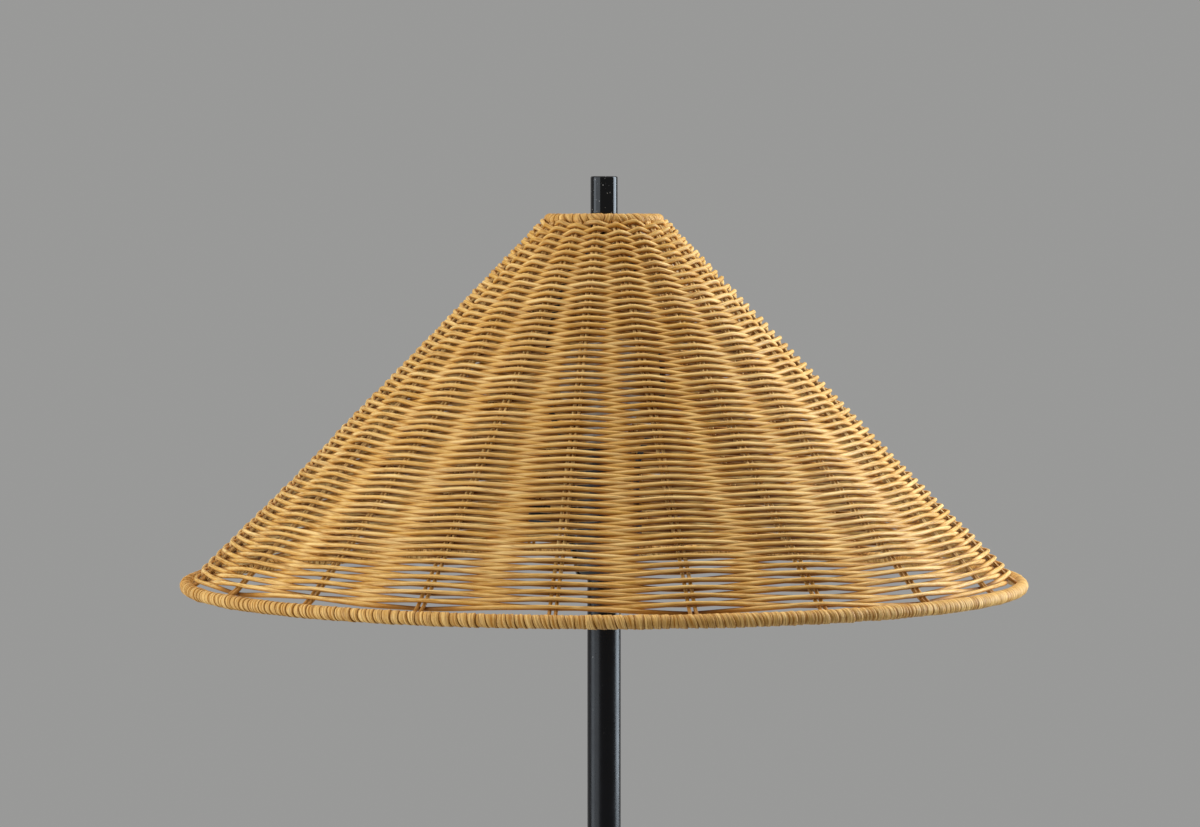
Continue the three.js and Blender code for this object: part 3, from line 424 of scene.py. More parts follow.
def moulded(name, colour, roughness, scale, strength):
    """Moulded or pressed plastic, rubber or card, with a fine even grain."""
    finish = Finish(name, roughness)
    place = finish.object_place()
    cloud = finish.noise(place, scale=90)
    paler = finish.range(cloud, start=0.35, full=0.75, most=0.7)
    finish.set("Base Color", finish.mix(paler, colour, toned(colour, factor=1.6)))
    finish.cloudy_roughness(cloud, least=roughness * 0.9, most=min(roughness * 1.12, 1.0))
    finish.bump(finish.noise(place, scale), strength, MOULDED_RELIEF)


def wool_felt(name, dark, pale):
    finish = Finish(name, roughness=0.95)
    tufts = finish.noise(finish.object_place(), scale=700, detail=5.0, roughness=0.7)
    finish.set("Base Color", finish.mix(finish.range(tufts, start=0.3, full=0.75), dark, pale))
    finish.set("Sheen Weight", 0.4)
    finish.set("Sheen Roughness", 0.6)
    finish.bump(tufts, strength=0.8, distance=0.0006)


def rough_iron(name, dark, pale, rusty):
    finish = Finish(name, roughness=0.78, metallic=0.5)
    place = finish.object_place()
    sand = finish.noise(place, scale=650, detail=6.0, roughness=0.7)
    rust = finish.noise(place, scale=60, detail=4.0)
    grey = finish.mix(finish.range(sand, *NOISE_SPREAD), dark, pale)
    finish.set("Base Color", finish.mix(finish.range(rust, start=0.6, full=0.75, most=0.5), grey, rusty))
    finish.bump(sand, strength=0.7, distance=0.0004)


def opal(name, dark, pale):
    finish = Finish(name, roughness=0.22)
    haze = finish.noise(finish.object_place(), scale=30)
    finish.set("Base Color", finish.mix(finish.range(haze, *NOISE_SPREAD), dark, pale))
    finish.cloudy_roughness(haze, least=0.2, most=0.27)
    finish.set("Specular IOR Level", 0.3)
    finish.set("Subsurface Weight", 0.2)
    finish.set("Subsurface Radius", (0.004, 0.004, 0.0035))


cane("strand_cane", (1.0, 0.695, 0.28), (0.67, 0.35, 0.062), (0.84, 0.445, 0.083))
cane("stake_cane", (1.0, 0.68, 0.28), (0.66, 0.36, 0.1), (0.76, 0.42, 0.11))
cane("binding_cane", (1.0, 0.63, 0.22), (0.53, 0.255, 0.048), (0.77, 0.385, 0.072), 0.48, fibrous=1.25)
paint("black_paint", (0.0007, 0.0007, 0.0018), 0.27, peel=0.25, gloss=0.25)
paint("finial_paint", (0.0006, 0.0006, 0.001), 0.08, peel=0.08, gloss=0.32, dust=0.09)
paint("harp_paint", (0.012, 0.012, 0.013), 0.3, peel=0.35)
paint("fitter_steel", (0.44, 0.27, 0.12), 0.38, peel=0.3)
metal("zinc_steel", (0.62, 0.62, 0.6), 0.35, brush=0.3)
metal("brass", (0.76, 0.58, 0.28), 0.28, brush=0.4)
metal("aluminium", (0.77, 0.77, 0.78), 0.32, brush=0.4)
moulded("black_plastic", (0.012, 0.012, 0.013), 0.42, scale=1500, strength=0.25)
moulded("knob_plastic", (0.009, 0.009, 0.01), 0.3, scale=1500, strength=0.15)
moulded("gland_rubber", (0.02, 0.02, 0.02), 0.75, scale=900, strength=0.5)
moulded("fibre_card", (0.33, 0.25, 0.16), 0.88, scale=500, strength=0.8)
wool_felt("felt", (0.018, 0.018, 0.019), (0.075, 0.075, 0.078))
rough_iron("cast_iron", (0.07, 0.07, 0.072), (0.17, 0.17, 0.172), (0.16, 0.08, 0.045))
# The bulb's opal glass is painted darker and warmer than white: painted shade and warm light thrown back
# inside the shade
opal("opal_glass", (0.56, 0.52, 0.46), (0.64, 0.6, 0.54))


# Pieces and their meshes
def placed(name, data):
    thing = bpy.data.objects.new(name, data)
    bpy.context.scene.collection.objects.link(thing)
    return thing


def add_piece(name, points, faces, slot, body, node):
    mesh = bpy.data.meshes.new(name)
    corners = faces.tolist() if isinstance(faces, np.ndarray) else faces
    mesh.from_pydata(np.asarray(points).tolist(), [], corners)
    mesh.shade_smooth()
    mesh.materials.append(finishes[slot])
    piece = placed(name, mesh)
    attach(piece, body)
    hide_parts(node)
    return piece


def give_attribute(piece, name, kind, values):
    attribute = piece.data.attributes.new(name, kind, "POINT")
    key = "vector" if kind == "FLOAT_VECTOR" else "value"
    attribute.data.foreach_set(key, np.asarray(values, np.float32).ravel())


def give_cane(piece, places, tones, painted_shades):
    """What the cane finishes need at each point: its place on the cane, its tone and how much painted shade
    it takes where it is shut in.
    """
    give_attribute(piece, "cane", "FLOAT_VECTOR", places)
    give_attribute(piece, "tone", "FLOAT", tones)
    give_attribute(piece, "painted_shade", "FLOAT", painted_shades)


def give_map(piece, corners):
    """The piece's own map, from the place of each face corner, from 0 to 1."""
    layer = piece.data.uv_layers.new(name="OFBake")
    layer.uv.foreach_set("vector", np.asarray(corners, np.float32).ravel())


def face_corners(*places):
    """Places on a map of the four corners of each face, from their across and up in turn."""
    return np.stack(np.broadcast_arrays(*places), -1).reshape(-1, 2)


def tube_faces(rings, sides, closed):
    """Quads of a tube: rings of points, each joined to the next."""
    ring = np.arange(rings if closed else rings - 1)[:, None]
    side = np.arange(sides)
    nearer = ring * sides
    farther = ((ring + 1) % rings) * sides
    after = (side + 1) % sides
    return np.stack([nearer + side, nearer + after, farther + after, farther + side], -1).reshape(-1, 4)


def capped_faces(rings, sides):
    """Faces of an open tube and of its two flat ends."""
    first_end = list(range(sides))
    last_end = [(rings - 1) * sides + i for i in first_end]
    return tube_faces(rings, sides, False).tolist() + [first_end[::-1], last_end]


def unit(vectors):
    return vectors / np.linalg.norm(vectors, axis=-1, keepdims=True)


def round_section(sides):
    """Cosine and sine of each side's angle round a section."""
    angle = np.arange(sides) * FULL_TURN / sides
    return np.cos(angle), np.sin(angle)


def sections(path, across, radius, sides, closed):
    """Points of round sections along a path. Across is its rough side direction, or one for each point."""
    if closed:
        travel = unit(np.roll(path, -1, 0) - np.roll(path, 1, 0))
    else:
        travel = unit(np.gradient(path, axis=0))
    side = unit(across - np.sum(across * travel, -1, keepdims=True) * travel)
    rise = np.cross(travel, side)
    cosine, sine = round_section(sides)
    radius = np.broadcast_to(radius, path.shape[:1])
    spread = cosine[:, None] * rise[:, None] + sine[:, None] * side[:, None]
    return path[:, None] + radius[:, None, None] * spread


def places_on_cane(along, sides, diameter):
    """Place on the cane of each point of its sections, from each section's distance along it."""
    across = np.stack(round_section(sides), -1) * diameter / 2
    return np.column_stack([np.repeat(along, sides), np.tile(across, (len(along), 1))])


def rod(path, across, radius, sides=WIRE_SIDES):
    """A solid round rod along an open path, with flat ends."""
    points = sections(np.asarray(path, float), np.asarray(across), radius, sides, False)
    return points.reshape(-1, 3), capped_faces(len(path), sides)


def bezier(corners, steps):
    share = np.linspace(0, 1, steps + 1)[:, None]
    a, b, c, d = (np.array(corner) for corner in corners)
    left = 1 - share
    return left**3 * a + 3 * left**2 * share * b + 3 * left * share**2 * c + share**3 * d


def rounded(corners, steps=EDGE_STEPS):
    """An outline from (radius, height, rounding) corners, with an arc at each rounded corner."""
    outline = []
    for i, (r, z, rounding) in enumerate(corners):
        here = np.array((r, z))
        if rounding == 0:
            outline.append(here)
            continue
        before = np.array(corners[i - 1][:2]) - here
        after = np.array(corners[(i + 1) % len(corners)][:2]) - here
        most = ARC_SHARE * min(np.linalg.norm(before), np.linalg.norm(after))
        before, after = unit(before), unit(after)
        half = math.acos(float(np.clip(before @ after, -1, 1))) / 2
        reach = min(rounding / math.tan(half), most)
        start, end = here + before * reach, here + after * reach
        pull = 4 / 3 * math.tan((math.pi - 2 * half) / 4) * math.tan(half)
        outline.extend(bezier([start, start + (here - start) * pull, end + (here - end) * pull, end], steps))
    return outline


def ring_corners(bore, radius, bottom, top, edge, bore_edge=0):
    """Corners of a plain ring, with its outer edges rounded alike."""
    return [(bore, bottom, bore_edge), (radius, bottom, edge), (radius, top, edge), (bore, top, bore_edge)]


def turned(outline, steps=ROUND_STEPS):
    """Points and faces of an outline of (radius, height), closed or ending on the axis, turned round Z."""
    points = []
    rings = []
    for r, z in outline:
        on_axis = r <= ON_AXIS
        rings.append([len(points) + i for i in range(1 if on_axis else steps)])
        if on_axis:
            points.append((0.0, 0.0, z))
            continue
        for i in range(steps):
            turn = FULL_TURN * i / steps
            points.append((r * math.cos(turn), r * math.sin(turn), z))
    faces = []
    for here, there in zip(rings, rings[1:] + rings[:1]):
        if len(here) == 1 and len(there) == 1:
            continue
        for i in range(steps):
            j = (i + 1) % steps
            if len(here) == 1:
                faces.append([here[0], there[j], there[i]])
            elif len(there) == 1:
                faces.append([here[i], here[j], there[0]])
            else:
                faces.append([here[i], here[j], there[j], there[i]])
    area = sum(a[0] * b[1] - b[0] * a[1] for a, b in zip(outline, outline[1:] + outline[:1]))
    if area < 0:
        faces = [face[::-1] for face in faces]
    return points, faces


def joined(*meshes):
    points, faces = [], []
    for more_points, more_faces in meshes:
        start = len(points)
        points.extend([tuple(p) for p in more_points])
        faces.extend([[start + i for i in face] for face in more_faces])
    return points, faces


def moved(mesh, matrix):
    points, faces = mesh
    return [tuple(matrix @ Vector(p)) for p in points], faces


def lathe_piece(name, corners, slot, body, node, steps=ROUND_STEPS, matrix=Matrix()):
    add_piece(name, *moved(turned(rounded(corners), steps), matrix), slot, body, node)


def span(node):
    """Radius, bottom and top of a turned node."""
    low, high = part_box(node)
    return (high.x - low.x) / 2, low.z, high.z


# Weave
def outwards(turn):
    """Direction away from the lamp's axis at each turn."""
    return np.stack([np.sin(turn), -np.cos(turn), np.zeros_like(turn)], -1)


def slope_axes(turn):
    """Directions at each turn: off the slope, and down the slope."""
    radial = outwards(turn)
    return radial * slope_drop + UP * slope_run, radial * slope_run - UP * slope_drop


def flare(along):
    """How far the mid-surface stands off the straight slope, near its foot."""
    share = np.clip((along - slope_length + FLARE_REACH) / FLARE_REACH, 0, 1)
    return FLARE * share * share * (3 - 2 * share)


def slope_points(turn, along, out):
    off, down = slope_axes(turn)
    out = np.asarray(out + flare(np.asarray(along)))
    top = outwards(turn) * TOP_RING_RADIUS + UP * top_ring_height
    return top + down * np.asarray(along)[..., None] + off * out[..., None]


def row_places():
    """Distances of the rows down the slope: even, then a little wider near the rim."""
    first = TOP_BINDING / 2 + STRAND_DIAMETER / 2
    last = slope_length - FOOT_GAP - STRAND_DIAMETER / 2
    places = [first]
    while places[-1] < last:
        share = (places[-1] - first) / (last - first)
        pitch = TOP_ROW_PITCH + (ROW_PITCH - TOP_ROW_PITCH) * share
        near_foot = last - places[-1] < FOOT_ROW_REACH
        places.append(places[-1] + (FOOT_ROW_PITCH if near_foot else pitch))
    fit = (last - first) / (places[-1] - first)
    return [first + (place - first) * fit for place in places]


def wave_set(count, lowest, highest):
    """Slow waves round the shade, as (waves per turn, start, drift per row)."""
    waves = []
    for _ in range(count):
        number = int(chance.integers(lowest, highest))
        waves.append((number, chance.uniform(0, FULL_TURN), chance.uniform(-WAVE_DRIFT, WAVE_DRIFT)))
    return waves


def wander(waves, turn, row):
    return sum(np.cos(n * turn + start + drift * row) for n, start, drift in waves) / math.sqrt(len(waves))


weave_waves = wave_set(7, lowest=3, highest=15)
foot_waves = wave_set(5, lowest=4, highest=12)
thickness_waves = wave_set(6, lowest=9, highest=40)


def strand_row(row, along, swing_at_stakes):
    """One woven row: its path, and at each point its section radius, its turn and how far it swings out."""
    # From one pair of stakes to the next it lies flat, crosses over and lies flat again
    radius = TOP_RING_RADIUS + along * slope_run
    spacing = radius * stake_step
    flat = min(FLAT_OVER_STAKES, FLAT_SHARE * spacing)
    crossing = spacing - 2 * flat
    shares = np.concatenate([[0.0], (flat + crossing * np.linspace(0, 1, CROSSING_STEPS + 1)) / spacing])
    count = len(stake_nodes)
    stake = np.repeat(np.arange(count), len(shares))
    share = np.tile(shares, count)
    turn = STAKE_START + (stake + share) * stake_step
    t = np.clip((share * spacing - flat) / crossing, 0, 1)
    eased = t - ARM_SOFTNESS * np.sin(FULL_TURN * t) / FULL_TURN
    side = np.where((stake + row) % 2, -1.0, 1.0)
    here = swing_at_stakes[stake]
    there = swing_at_stakes[(stake + 1) % count]
    out = side * (here * (1 - eased) - there * eased)

    # It drifts up and down the slope with its neighbours, more so near the rim, and a little by itself
    knots = chance.normal(0, 1, KNOTS_PER_STAKE * count)
    place = KNOTS_PER_STAKE * (stake + share)
    low = np.floor(place).astype(int)
    ease = (1 - np.cos(math.pi * (place - low))) / 2
    own = knots[low % len(knots)] * (1 - ease) + knots[(low + 1) % len(knots)] * ease
    to_foot = max(0.0, 1 - (slope_length - along) / FOOT_ROW_REACH)
    share_down = along / slope_length
    drift = WANDER * wander(weave_waves, turn, row) * (TOP_WANDER + (1 - TOP_WANDER) * share_down)
    lift = FOOT_LIFT * (1 + np.cos(FOOT_LIFT_WAVES * (turn - FOOT_LIFT_TURN))) / 2
    drift = drift - to_foot * (lift + WANDER * np.abs(wander(foot_waves, turn, 0)))
    if row < TWINED_ROWS:
        slant = 1 if row < TWINED_ROWS / 2 else -1
        drift = drift + slant * side * TWINE_RISE * np.sin(math.pi * share)
    jitter = ROW_JITTER * own * (1 + FOOT_JITTER * to_foot)
    path = slope_points(turn, along + drift + jitter, out)
    pinch = STAKE_PINCH * share_down**2 * (out / STRAND_SWING) ** 2
    thick = 1 + THICKNESS_SPREAD * wander(thickness_waves, turn, THICKNESS_DRIFT * row) - pinch
    return path, STRAND_DIAMETER / 2 * thick, turn, out


def strand_painted_shade(out):
    """Painted shade: dark where a strand faces into the weave, and a little along both edges, where its
    neighbours lie.
    """
    facing = -round_section(STRAND_SIDES)[0]
    swing = out[:, None] / STRAND_SWING
    inwards = np.clip(-facing * swing, 0, 1)
    edges = EDGE_SHADE * (1 + PIT_SHADE * np.abs(swing)) * (1 - np.abs(facing))
    return np.clip(inwards + edges, 0, 1)


def row_tones(turn, row):
    """Each row is laid from a few lengths of cane, each with a tone of its own. The uppermost are darker."""
    joins = np.sort(chance.uniform(0, FULL_TURN, LENGTHS_PER_ROW))
    darker = TOP_DARKENING * max(0.0, 1 - row / TOP_DARK_ROWS)
    tones = np.clip(chance.normal(TONE_MEAN, TONE_SPREAD, LENGTHS_PER_ROW) - darker, 0, 1)
    which = np.searchsorted(joins, np.mod(turn, FULL_TURN)) % LENGTHS_PER_ROW
    slow = TONE_SWELL * np.cos(TONE_WAVES * turn + chance.uniform(0, FULL_TURN))
    return np.clip(tones[which] + slow, 0, 1)


def folded(turn):
    """The turn, folded back at both sides so that a pattern along a ring has no seam."""
    wrapped = np.mod(turn + math.pi, FULL_TURN) - math.pi
    return np.where(np.abs(wrapped) > math.pi / 2, np.sign(wrapped) * math.pi - wrapped, wrapped)


def weave():
    """The strands, in a few pieces from the top of the shade to its foot."""
    places = row_places()
    for index, rows in enumerate(np.array_split(np.arange(len(places)), WEAVE_PIECES)):
        points, faces, on_cane, tones, painted_shades, bands = [], [], [], [], [], []
        for row in rows.tolist():
            spread = chance.normal(0, 1, len(stake_nodes)).clip(-SWING_LIMIT, SWING_LIMIT)
            swings = STRAND_SWING * (1 + SWING_SPREAD * spread)
            path, thick, turn, out = strand_row(row, places[row], swings)
            radius = TOP_RING_RADIUS + places[row] * slope_run
            ring = sections(path, slope_axes(turn)[1], thick, STRAND_SIDES, True)
            start = sum(len(p) for p in points)
            points.append(ring.reshape(-1, 3))
            faces.append(start + tube_faces(len(path), STRAND_SIDES, True))
            along_cane = folded(turn) * radius + row * ROW_SHIFT
            on_cane.append(places_on_cane(along_cane, STRAND_SIDES, STRAND_DIAMETER))
            tones.append(np.repeat(row_tones(turn, row), STRAND_SIDES))
            painted_shades.append(strand_painted_shade(out).ravel())
            bands.append((len(path), FULL_TURN * radius))
        mesh = np.concatenate(points), np.concatenate(faces)
        piece = add_piece(f"shade_strands_{index + 1}", *mesh, "strand_cane", "shade", "shade_weave")
        give_cane(piece, *(np.concatenate(values) for values in (on_cane, tones, painted_shades)))
        give_map(piece, band_map(bands, STRAND_SIDES, math.pi * STRAND_DIAMETER))


def band_map(rings, sides, girth, margin=0.1):
    """Corners of a map where each ring of a tube lies in level bands, cut where a band is full."""
    total = sum(length for _, length in rings)
    width = math.sqrt(total * girth)
    laid = []
    band = 0
    for count, length in rings:
        arcs = max(1, math.ceil(length / width))
        ring = np.arange(count)
        arc = ring * arcs // count
        first = np.ceil(arc * count / arcs)
        near = (ring - first) * length / count / width
        far = (ring + 1 - first) * length / count / width
        laid.append((near, far, band + arc))
        band += arcs
    edges = margin + (1 - 2 * margin) * np.arange(sides + 1) / sides
    corners = []
    longest = max(far.max() for _, far, _ in laid)
    for near, far, row in laid:
        near, far = (near / longest)[:, None], (far / longest)[:, None]
        low = (row[:, None] + edges[:-1]) / band
        high = (row[:, None] + edges[1:]) / band
        corners.append(face_corners(near, low, near, high, far, high, far, low))
    return np.concatenate(corners)


def stakes():
    """Pairs of stakes: one rod bent double under the top ring, both ends bound in at the rim."""
    half = STAKE_SPACING / 2
    top_half = STAKE_TOP_SPACING / 2
    foot = slope_length - KNEE_GAP
    bend = (TOP_WIRE + STAKE_DIAMETER) / 2 + SEAT_GAP + top_half
    along = np.linspace(bend, foot, STAKE_STEPS)
    apart = top_half + (half - top_half) * (along - bend) / (foot - bend)
    swing = np.linspace(0, math.pi, CROWN_STEPS + 1)[1:-1, None]
    for index, node in enumerate(stake_nodes):
        turn = np.array(STAKE_START + index * stake_step)
        off, down = slope_axes(turn)
        aside = np.cross(off, down)
        middle = slope_points(turn, along, out=0)
        legs = []
        for side in (-1, 1):
            sway = STAKE_SWAY * np.sin(along * SWAY_RATE + chance.uniform(0, FULL_TURN))
            leg = middle - aside * (side * apart + sway)[:, None]
            knee = leg[-1]
            ring = outwards(turn) * RIM_RING_RADIUS + UP * rim_height - aside * side * half
            end = ring + (knee - ring) * (RIM_WIRE / 2 + SEAT_GAP) / np.linalg.norm(knee - ring)
            legs.append(np.vstack([leg, end]))
        centre = middle[0]
        crown = centre + np.cos(swing) * (legs[0][0] - centre) - np.sin(swing) * down * top_half
        path = np.vstack([legs[0][::-1], crown, legs[1]])
        mesh = rod(path, off, STAKE_DIAMETER / 2, STAKE_SIDES)
        piece = add_piece(f"{node}_rods", *mesh, "stake_cane", "shade", node)
        travel = np.concatenate([[0], np.cumsum(np.linalg.norm(np.diff(path, axis=0), axis=1))])
        # Painted shade on each stake, growing towards the rim
        near_rim = np.clip(1 - (path[:, 2] - rim_height) / STAKE_SHADE_REACH, 0, 1)
        give_cane(
            piece,
            places_on_cane(travel + index * STAKE_SHIFT, STAKE_SIDES, STAKE_DIAMETER),
            np.full(len(mesh[0]), chance.uniform(*STAKE_TONES)),
            np.repeat(STAKE_SHADE * near_rim, STAKE_SIDES),
        )


def binding(name, node, radius, height, diameter, wraps, lean, seed):
    """A flat cane wound round a ring as one helix. Each wrap is slightly crowned, with a sunk line beside it,
    and has painted shade along its edges and in its splits.
    """
    dice = np.random.default_rng(seed)
    widths = dice.uniform(*WRAP_WIDTHS, wraps)
    starts = np.concatenate([[0], np.cumsum(widths)])
    starts = starts / starts[-1]
    per_wrap = len(WRAP_SHARES)
    columns = wraps * per_wrap
    around = np.arange(WRAP_SIDES)
    wind = around / WRAP_SIDES - 0.5
    column = np.arange(columns)
    wrap = column // per_wrap
    share = np.array(WRAP_SHARES)[column % per_wrap]
    helix = wrap[:, None] + share[:, None] - wind

    def between(values, places):
        low = np.floor(places).astype(int)
        part = places - low
        return values[low % wraps] * (1 - part) + values[(low + 1) % wraps] * part

    # Where each point lies round the ring
    whole = np.floor(helix).astype(int)
    part = helix - whole
    place = starts[whole % wraps] * (1 - part) + starts[whole % wraps + 1] * part + whole // wraps
    leans = dice.normal(0.0, lean, wraps).clip(-2 * lean, 2 * lean) * FULL_TURN / wraps
    turn = FULL_TURN * place + between(leans, helix) * np.sin(FULL_TURN * wind)

    # How far it stands off the ring's middle
    ring_index = wrap[:, None] - wind
    bulge = between(dice.normal(0, WRAP_BULGE, wraps), ring_index)
    tilt = between(dice.normal(0, WRAP_TILT, wraps), ring_index)
    edge = np.abs(2 * share - 1)[:, None] ** WRAP_EDGE_POWER
    splits = between((dice.random(wraps) < SPLIT_CHANCE).astype(float), ring_index)
    split = np.where((column % per_wrap == SPLIT_COLUMN)[:, None], splits, 0.0)
    lap = (WRAP_LAP + tilt) * (share[:, None] - 0.5)
    tube = diameter / 2 - WRAP_INSET + bulge + lap - WRAP_GROOVE * edge - WRAP_SPLIT * split
    tube = np.minimum(tube, diameter / 2 + WRAP_STAND_OUT)
    from_axis = radius + tube * np.cos(FULL_TURN * wind)
    points = outwards(turn) * from_axis[..., None]
    points[..., 2] = height + tube * np.sin(FULL_TURN * wind)

    # The last side of each wrap runs on into the first side of the wrap before it
    index = column[:, None] * WRAP_SIDES + around
    ahead = ((column[:, None] + 1) % columns) * WRAP_SIDES + around
    seam = ((column - per_wrap) % columns)[:, None] * WRAP_SIDES
    seam_ahead = ((column + 1 - per_wrap) % columns)[:, None] * WRAP_SIDES
    above = np.concatenate([index[:, 1:], seam], 1)
    above_ahead = np.concatenate([ahead[:, 1:], seam_ahead], 1)
    faces = np.stack([index, ahead, above_ahead, above], -1).reshape(-1, 4)

    piece = add_piece(name, points.reshape(-1, 3), faces, "binding_cane", "shade", node)
    girth = math.pi * diameter
    across = np.broadcast_to((share[:, None] - 0.5) * FULL_TURN * radius / wraps, helix.shape)
    on_cane = np.stack([helix * girth, across, np.zeros_like(helix)], -1)
    tones = between(dice.uniform(*WRAP_TONES, wraps), ring_index)
    # Painted shade along the edges of each wrap and in its splits
    give_cane(piece, on_cane, tones, np.maximum(WRAP_EDGE_SHADE * edge, SPLIT_SHADE * split))
    give_map(piece, wound_map(columns, max(1, round(math.sqrt(FULL_TURN * radius / girth)))))


def wound_map(columns, bands, margin=0.04):
    """Corners of a map where a wound ring lies in level bands of an equal number of columns."""
    column = np.arange(columns)
    band = column * bands // columns
    near = (column - np.ceil(band * columns / bands)) * bands / columns
    far = near + bands / columns
    scale = near.max() + 2 * bands / columns
    edges = margin + (1 - 2 * margin) * np.arange(WRAP_SIDES + 1) / WRAP_SIDES
    near, far = (near / scale)[:, None], (far / scale)[:, None]
    low = (band[:, None] + edges[:-1]) / bands
    high = (band[:, None] + edges[1:]) / bands
    return face_corners(near, low, far, low, far, high, near, high)


# Base, pole and what stands on it
def base():
    radius, bottom, top = span("base_cover")
    corners = [
        (NIPPLE_HOLE_RADIUS, top - COVER_WALL, 0),
        (radius - COVER_WALL, top - COVER_WALL, COVER_EDGE - COVER_WALL),
        (radius - COVER_WALL, bottom, 0),
        (radius, bottom, SOFT_EDGE),
        (radius, top, COVER_EDGE),
        (NIPPLE_HOLE_RADIUS, top, 0),
    ]
    lathe_piece("base_dish", corners, "black_paint", "stand", "base_cover", 2 * ROUND_STEPS)

    radius, bottom, top = span("base_felt_pad")
    corners = ring_corners(0, radius, bottom, top, 2 * SOFT_EDGE)
    lathe_piece("base_pad", corners, "felt", "stand", "base_felt_pad", 2 * ROUND_STEPS)

    radius, bottom, top = span("base_collar")
    bore = span("pole_lower")[0] + SEAT_GAP
    corners = [
        (bore, bottom, 0),
        (radius, bottom, SOFT_EDGE),
        (radius, top, COLLAR_EDGE),
        (bore, top, SOFT_EDGE),
    ]
    lathe_piece("base_ring", corners, "black_paint", "stand", "base_collar")


def gland():
    """The bushing for the mains lead, in the base's skirt."""
    low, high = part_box("cord_gland")
    flange = (high.x - low.x) / 2
    lip = high.y - GLAND_FLANGE
    corners = [
        (GLAND_BORE / 2, low.y, SOFT_EDGE),
        (GLAND_DIAMETER / 2, low.y, SOFT_EDGE),
        (GLAND_DIAMETER / 2, lip, 0),
        (flange, lip, SOFT_EDGE),
        (flange, high.y, GLAND_FLANGE * ROUNDED_SHARE),
        (GLAND_BORE / 2, high.y, GLAND_FLANGE / 2),
    ]
    lying = Matrix.Translation((0, 0, GLAND_HEIGHT)) @ Matrix.Rotation(-math.pi / 2, 4, "X")
    lathe_piece("lead_bushing", corners, "gland_rubber", "stand", "cord_gland", matrix=lying)


def pole():
    for node in ("pole_lower", "pole_middle", "pole_upper"):
        radius, bottom, top = span(node)
        corners = ring_corners(radius - TUBE_WALL, radius, bottom, top, SOFT_EDGE / 2)
        lathe_piece(f"{node}_tube", corners, "black_paint", "stand", node)

    radius, bottom, top = span("pole_top_plug")
    spigot = radius - TUBE_WALL - SEAT_GAP
    corners = [
        (NIPPLE_HOLE_RADIUS, bottom, 0),
        (spigot, bottom, SOFT_EDGE),
        (spigot, top - PLUG_FLANGE, 0),
        (radius, top - PLUG_FLANGE, SOFT_EDGE),
        (radius, top, SOFT_EDGE),
        (NIPPLE_HOLE_RADIUS, top, 0),
    ]
    lathe_piece("pole_cap", corners, "black_paint", "stand", "pole_top_plug")


def socket():
    radius, bottom, top = span("socket_cap")
    corners = [
        (NIPPLE_HOLE_RADIUS, bottom, 0),
        (radius, bottom, SOCKET_CORNER),
        (radius, top, SOFT_EDGE),
        (radius - TUBE_WALL, top, 0),
        (radius - TUBE_WALL, bottom + TUBE_WALL, SOCKET_CORNER - TUBE_WALL),
        (NIPPLE_HOLE_RADIUS, bottom + TUBE_WALL, 0),
    ]
    lathe_piece("socket_cup", corners, "black_plastic", "stand", "socket_cap")

    lip_radius, bottom, top = span("socket_shell")
    corners = [
        (radius, bottom, SOFT_EDGE),
        (radius, top - 2 * SHELL_LIP, SHELL_LIP / 2),
        (lip_radius, top - SHELL_LIP, SHELL_LIP / 2),
        (radius, top, SOFT_EDGE),
        (radius - TUBE_WALL, top, SOFT_EDGE),
        (radius - TUBE_WALL, bottom, 0),
    ]
    lathe_piece("socket_sleeve", corners, "black_plastic", "stand", "socket_shell")


def knob():
    """The switch's turn knob: a lobed grip on its spindle, lying along X."""
    low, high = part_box("switch_knob")
    grip_radius = (high.z - low.z) / 2
    reach = -low.x
    spindle = SPINDLE_DIAMETER / 2
    corners = [
        (0, -high.x, 0),
        (spindle, -high.x, 0),
        (spindle, reach - KNOB_LENGTH, 0),
        (grip_radius, reach - KNOB_LENGTH, SOFT_EDGE),
        (grip_radius, reach, 3 * SOFT_EDGE),
        (0, reach, 0),
    ]
    points, faces = turned(rounded(corners), KNOB_LOBE_STEPS * KNOB_LOBES)
    lobed = []
    for x, y, z in points:
        r = math.hypot(x, y)
        share = max(0.0, (r - spindle) / (grip_radius - spindle))
        dip = share * KNOB_LOBE_DEPTH * (1 - math.cos(KNOB_LOBES * math.atan2(y, x))) / 2
        scale = (r - dip) / r if r > 0 else 1.0
        lobed.append((x * scale, y * scale, z))
    lying = Matrix.Translation((0, 0, (high.z + low.z) / 2)) @ Matrix.Rotation(-math.pi / 2, 4, "Y")
    add_piece("turn_knob", *moved((lobed, faces), lying), "knob_plastic", "switch", "switch_knob")


def bulb():
    radius, bottom, top = span("bulb_globe")
    centre = top - radius
    neck_top = bottom + BULB_CAP_RECESS

    def wall(inset):
        neck = BULB_NECK / 2 - inset
        ball = [
            ((radius - inset) * math.cos(a), centre + (radius - inset) * math.sin(a))
            for a in np.linspace(BALL_START, math.pi / 2, BALL_STEPS + 1)
        ]
        middle = (neck_top + ball[0][1]) / 2
        waist = [(neck, neck_top), (neck, middle), ((neck + ball[0][0]) / 2, middle), ball[0]]
        return [(neck, bottom)] + [tuple(p) for p in bezier(waist, WAIST_STEPS)[:-1]] + ball

    outline = wall(0.0) + wall(BULB_WALL)[::-1]
    add_piece("bulb_glass", *turned(outline), "opal_glass", "bulb", "bulb_globe")


def harp_piece(name, meshes, node):
    """A piece made in the harp's own plane, then turned with it."""
    mesh = moved(joined(*meshes), Matrix.Rotation(HARP_TURN, 4, "Z"))
    add_piece(name, *mesh, "harp_paint", "stand", node)


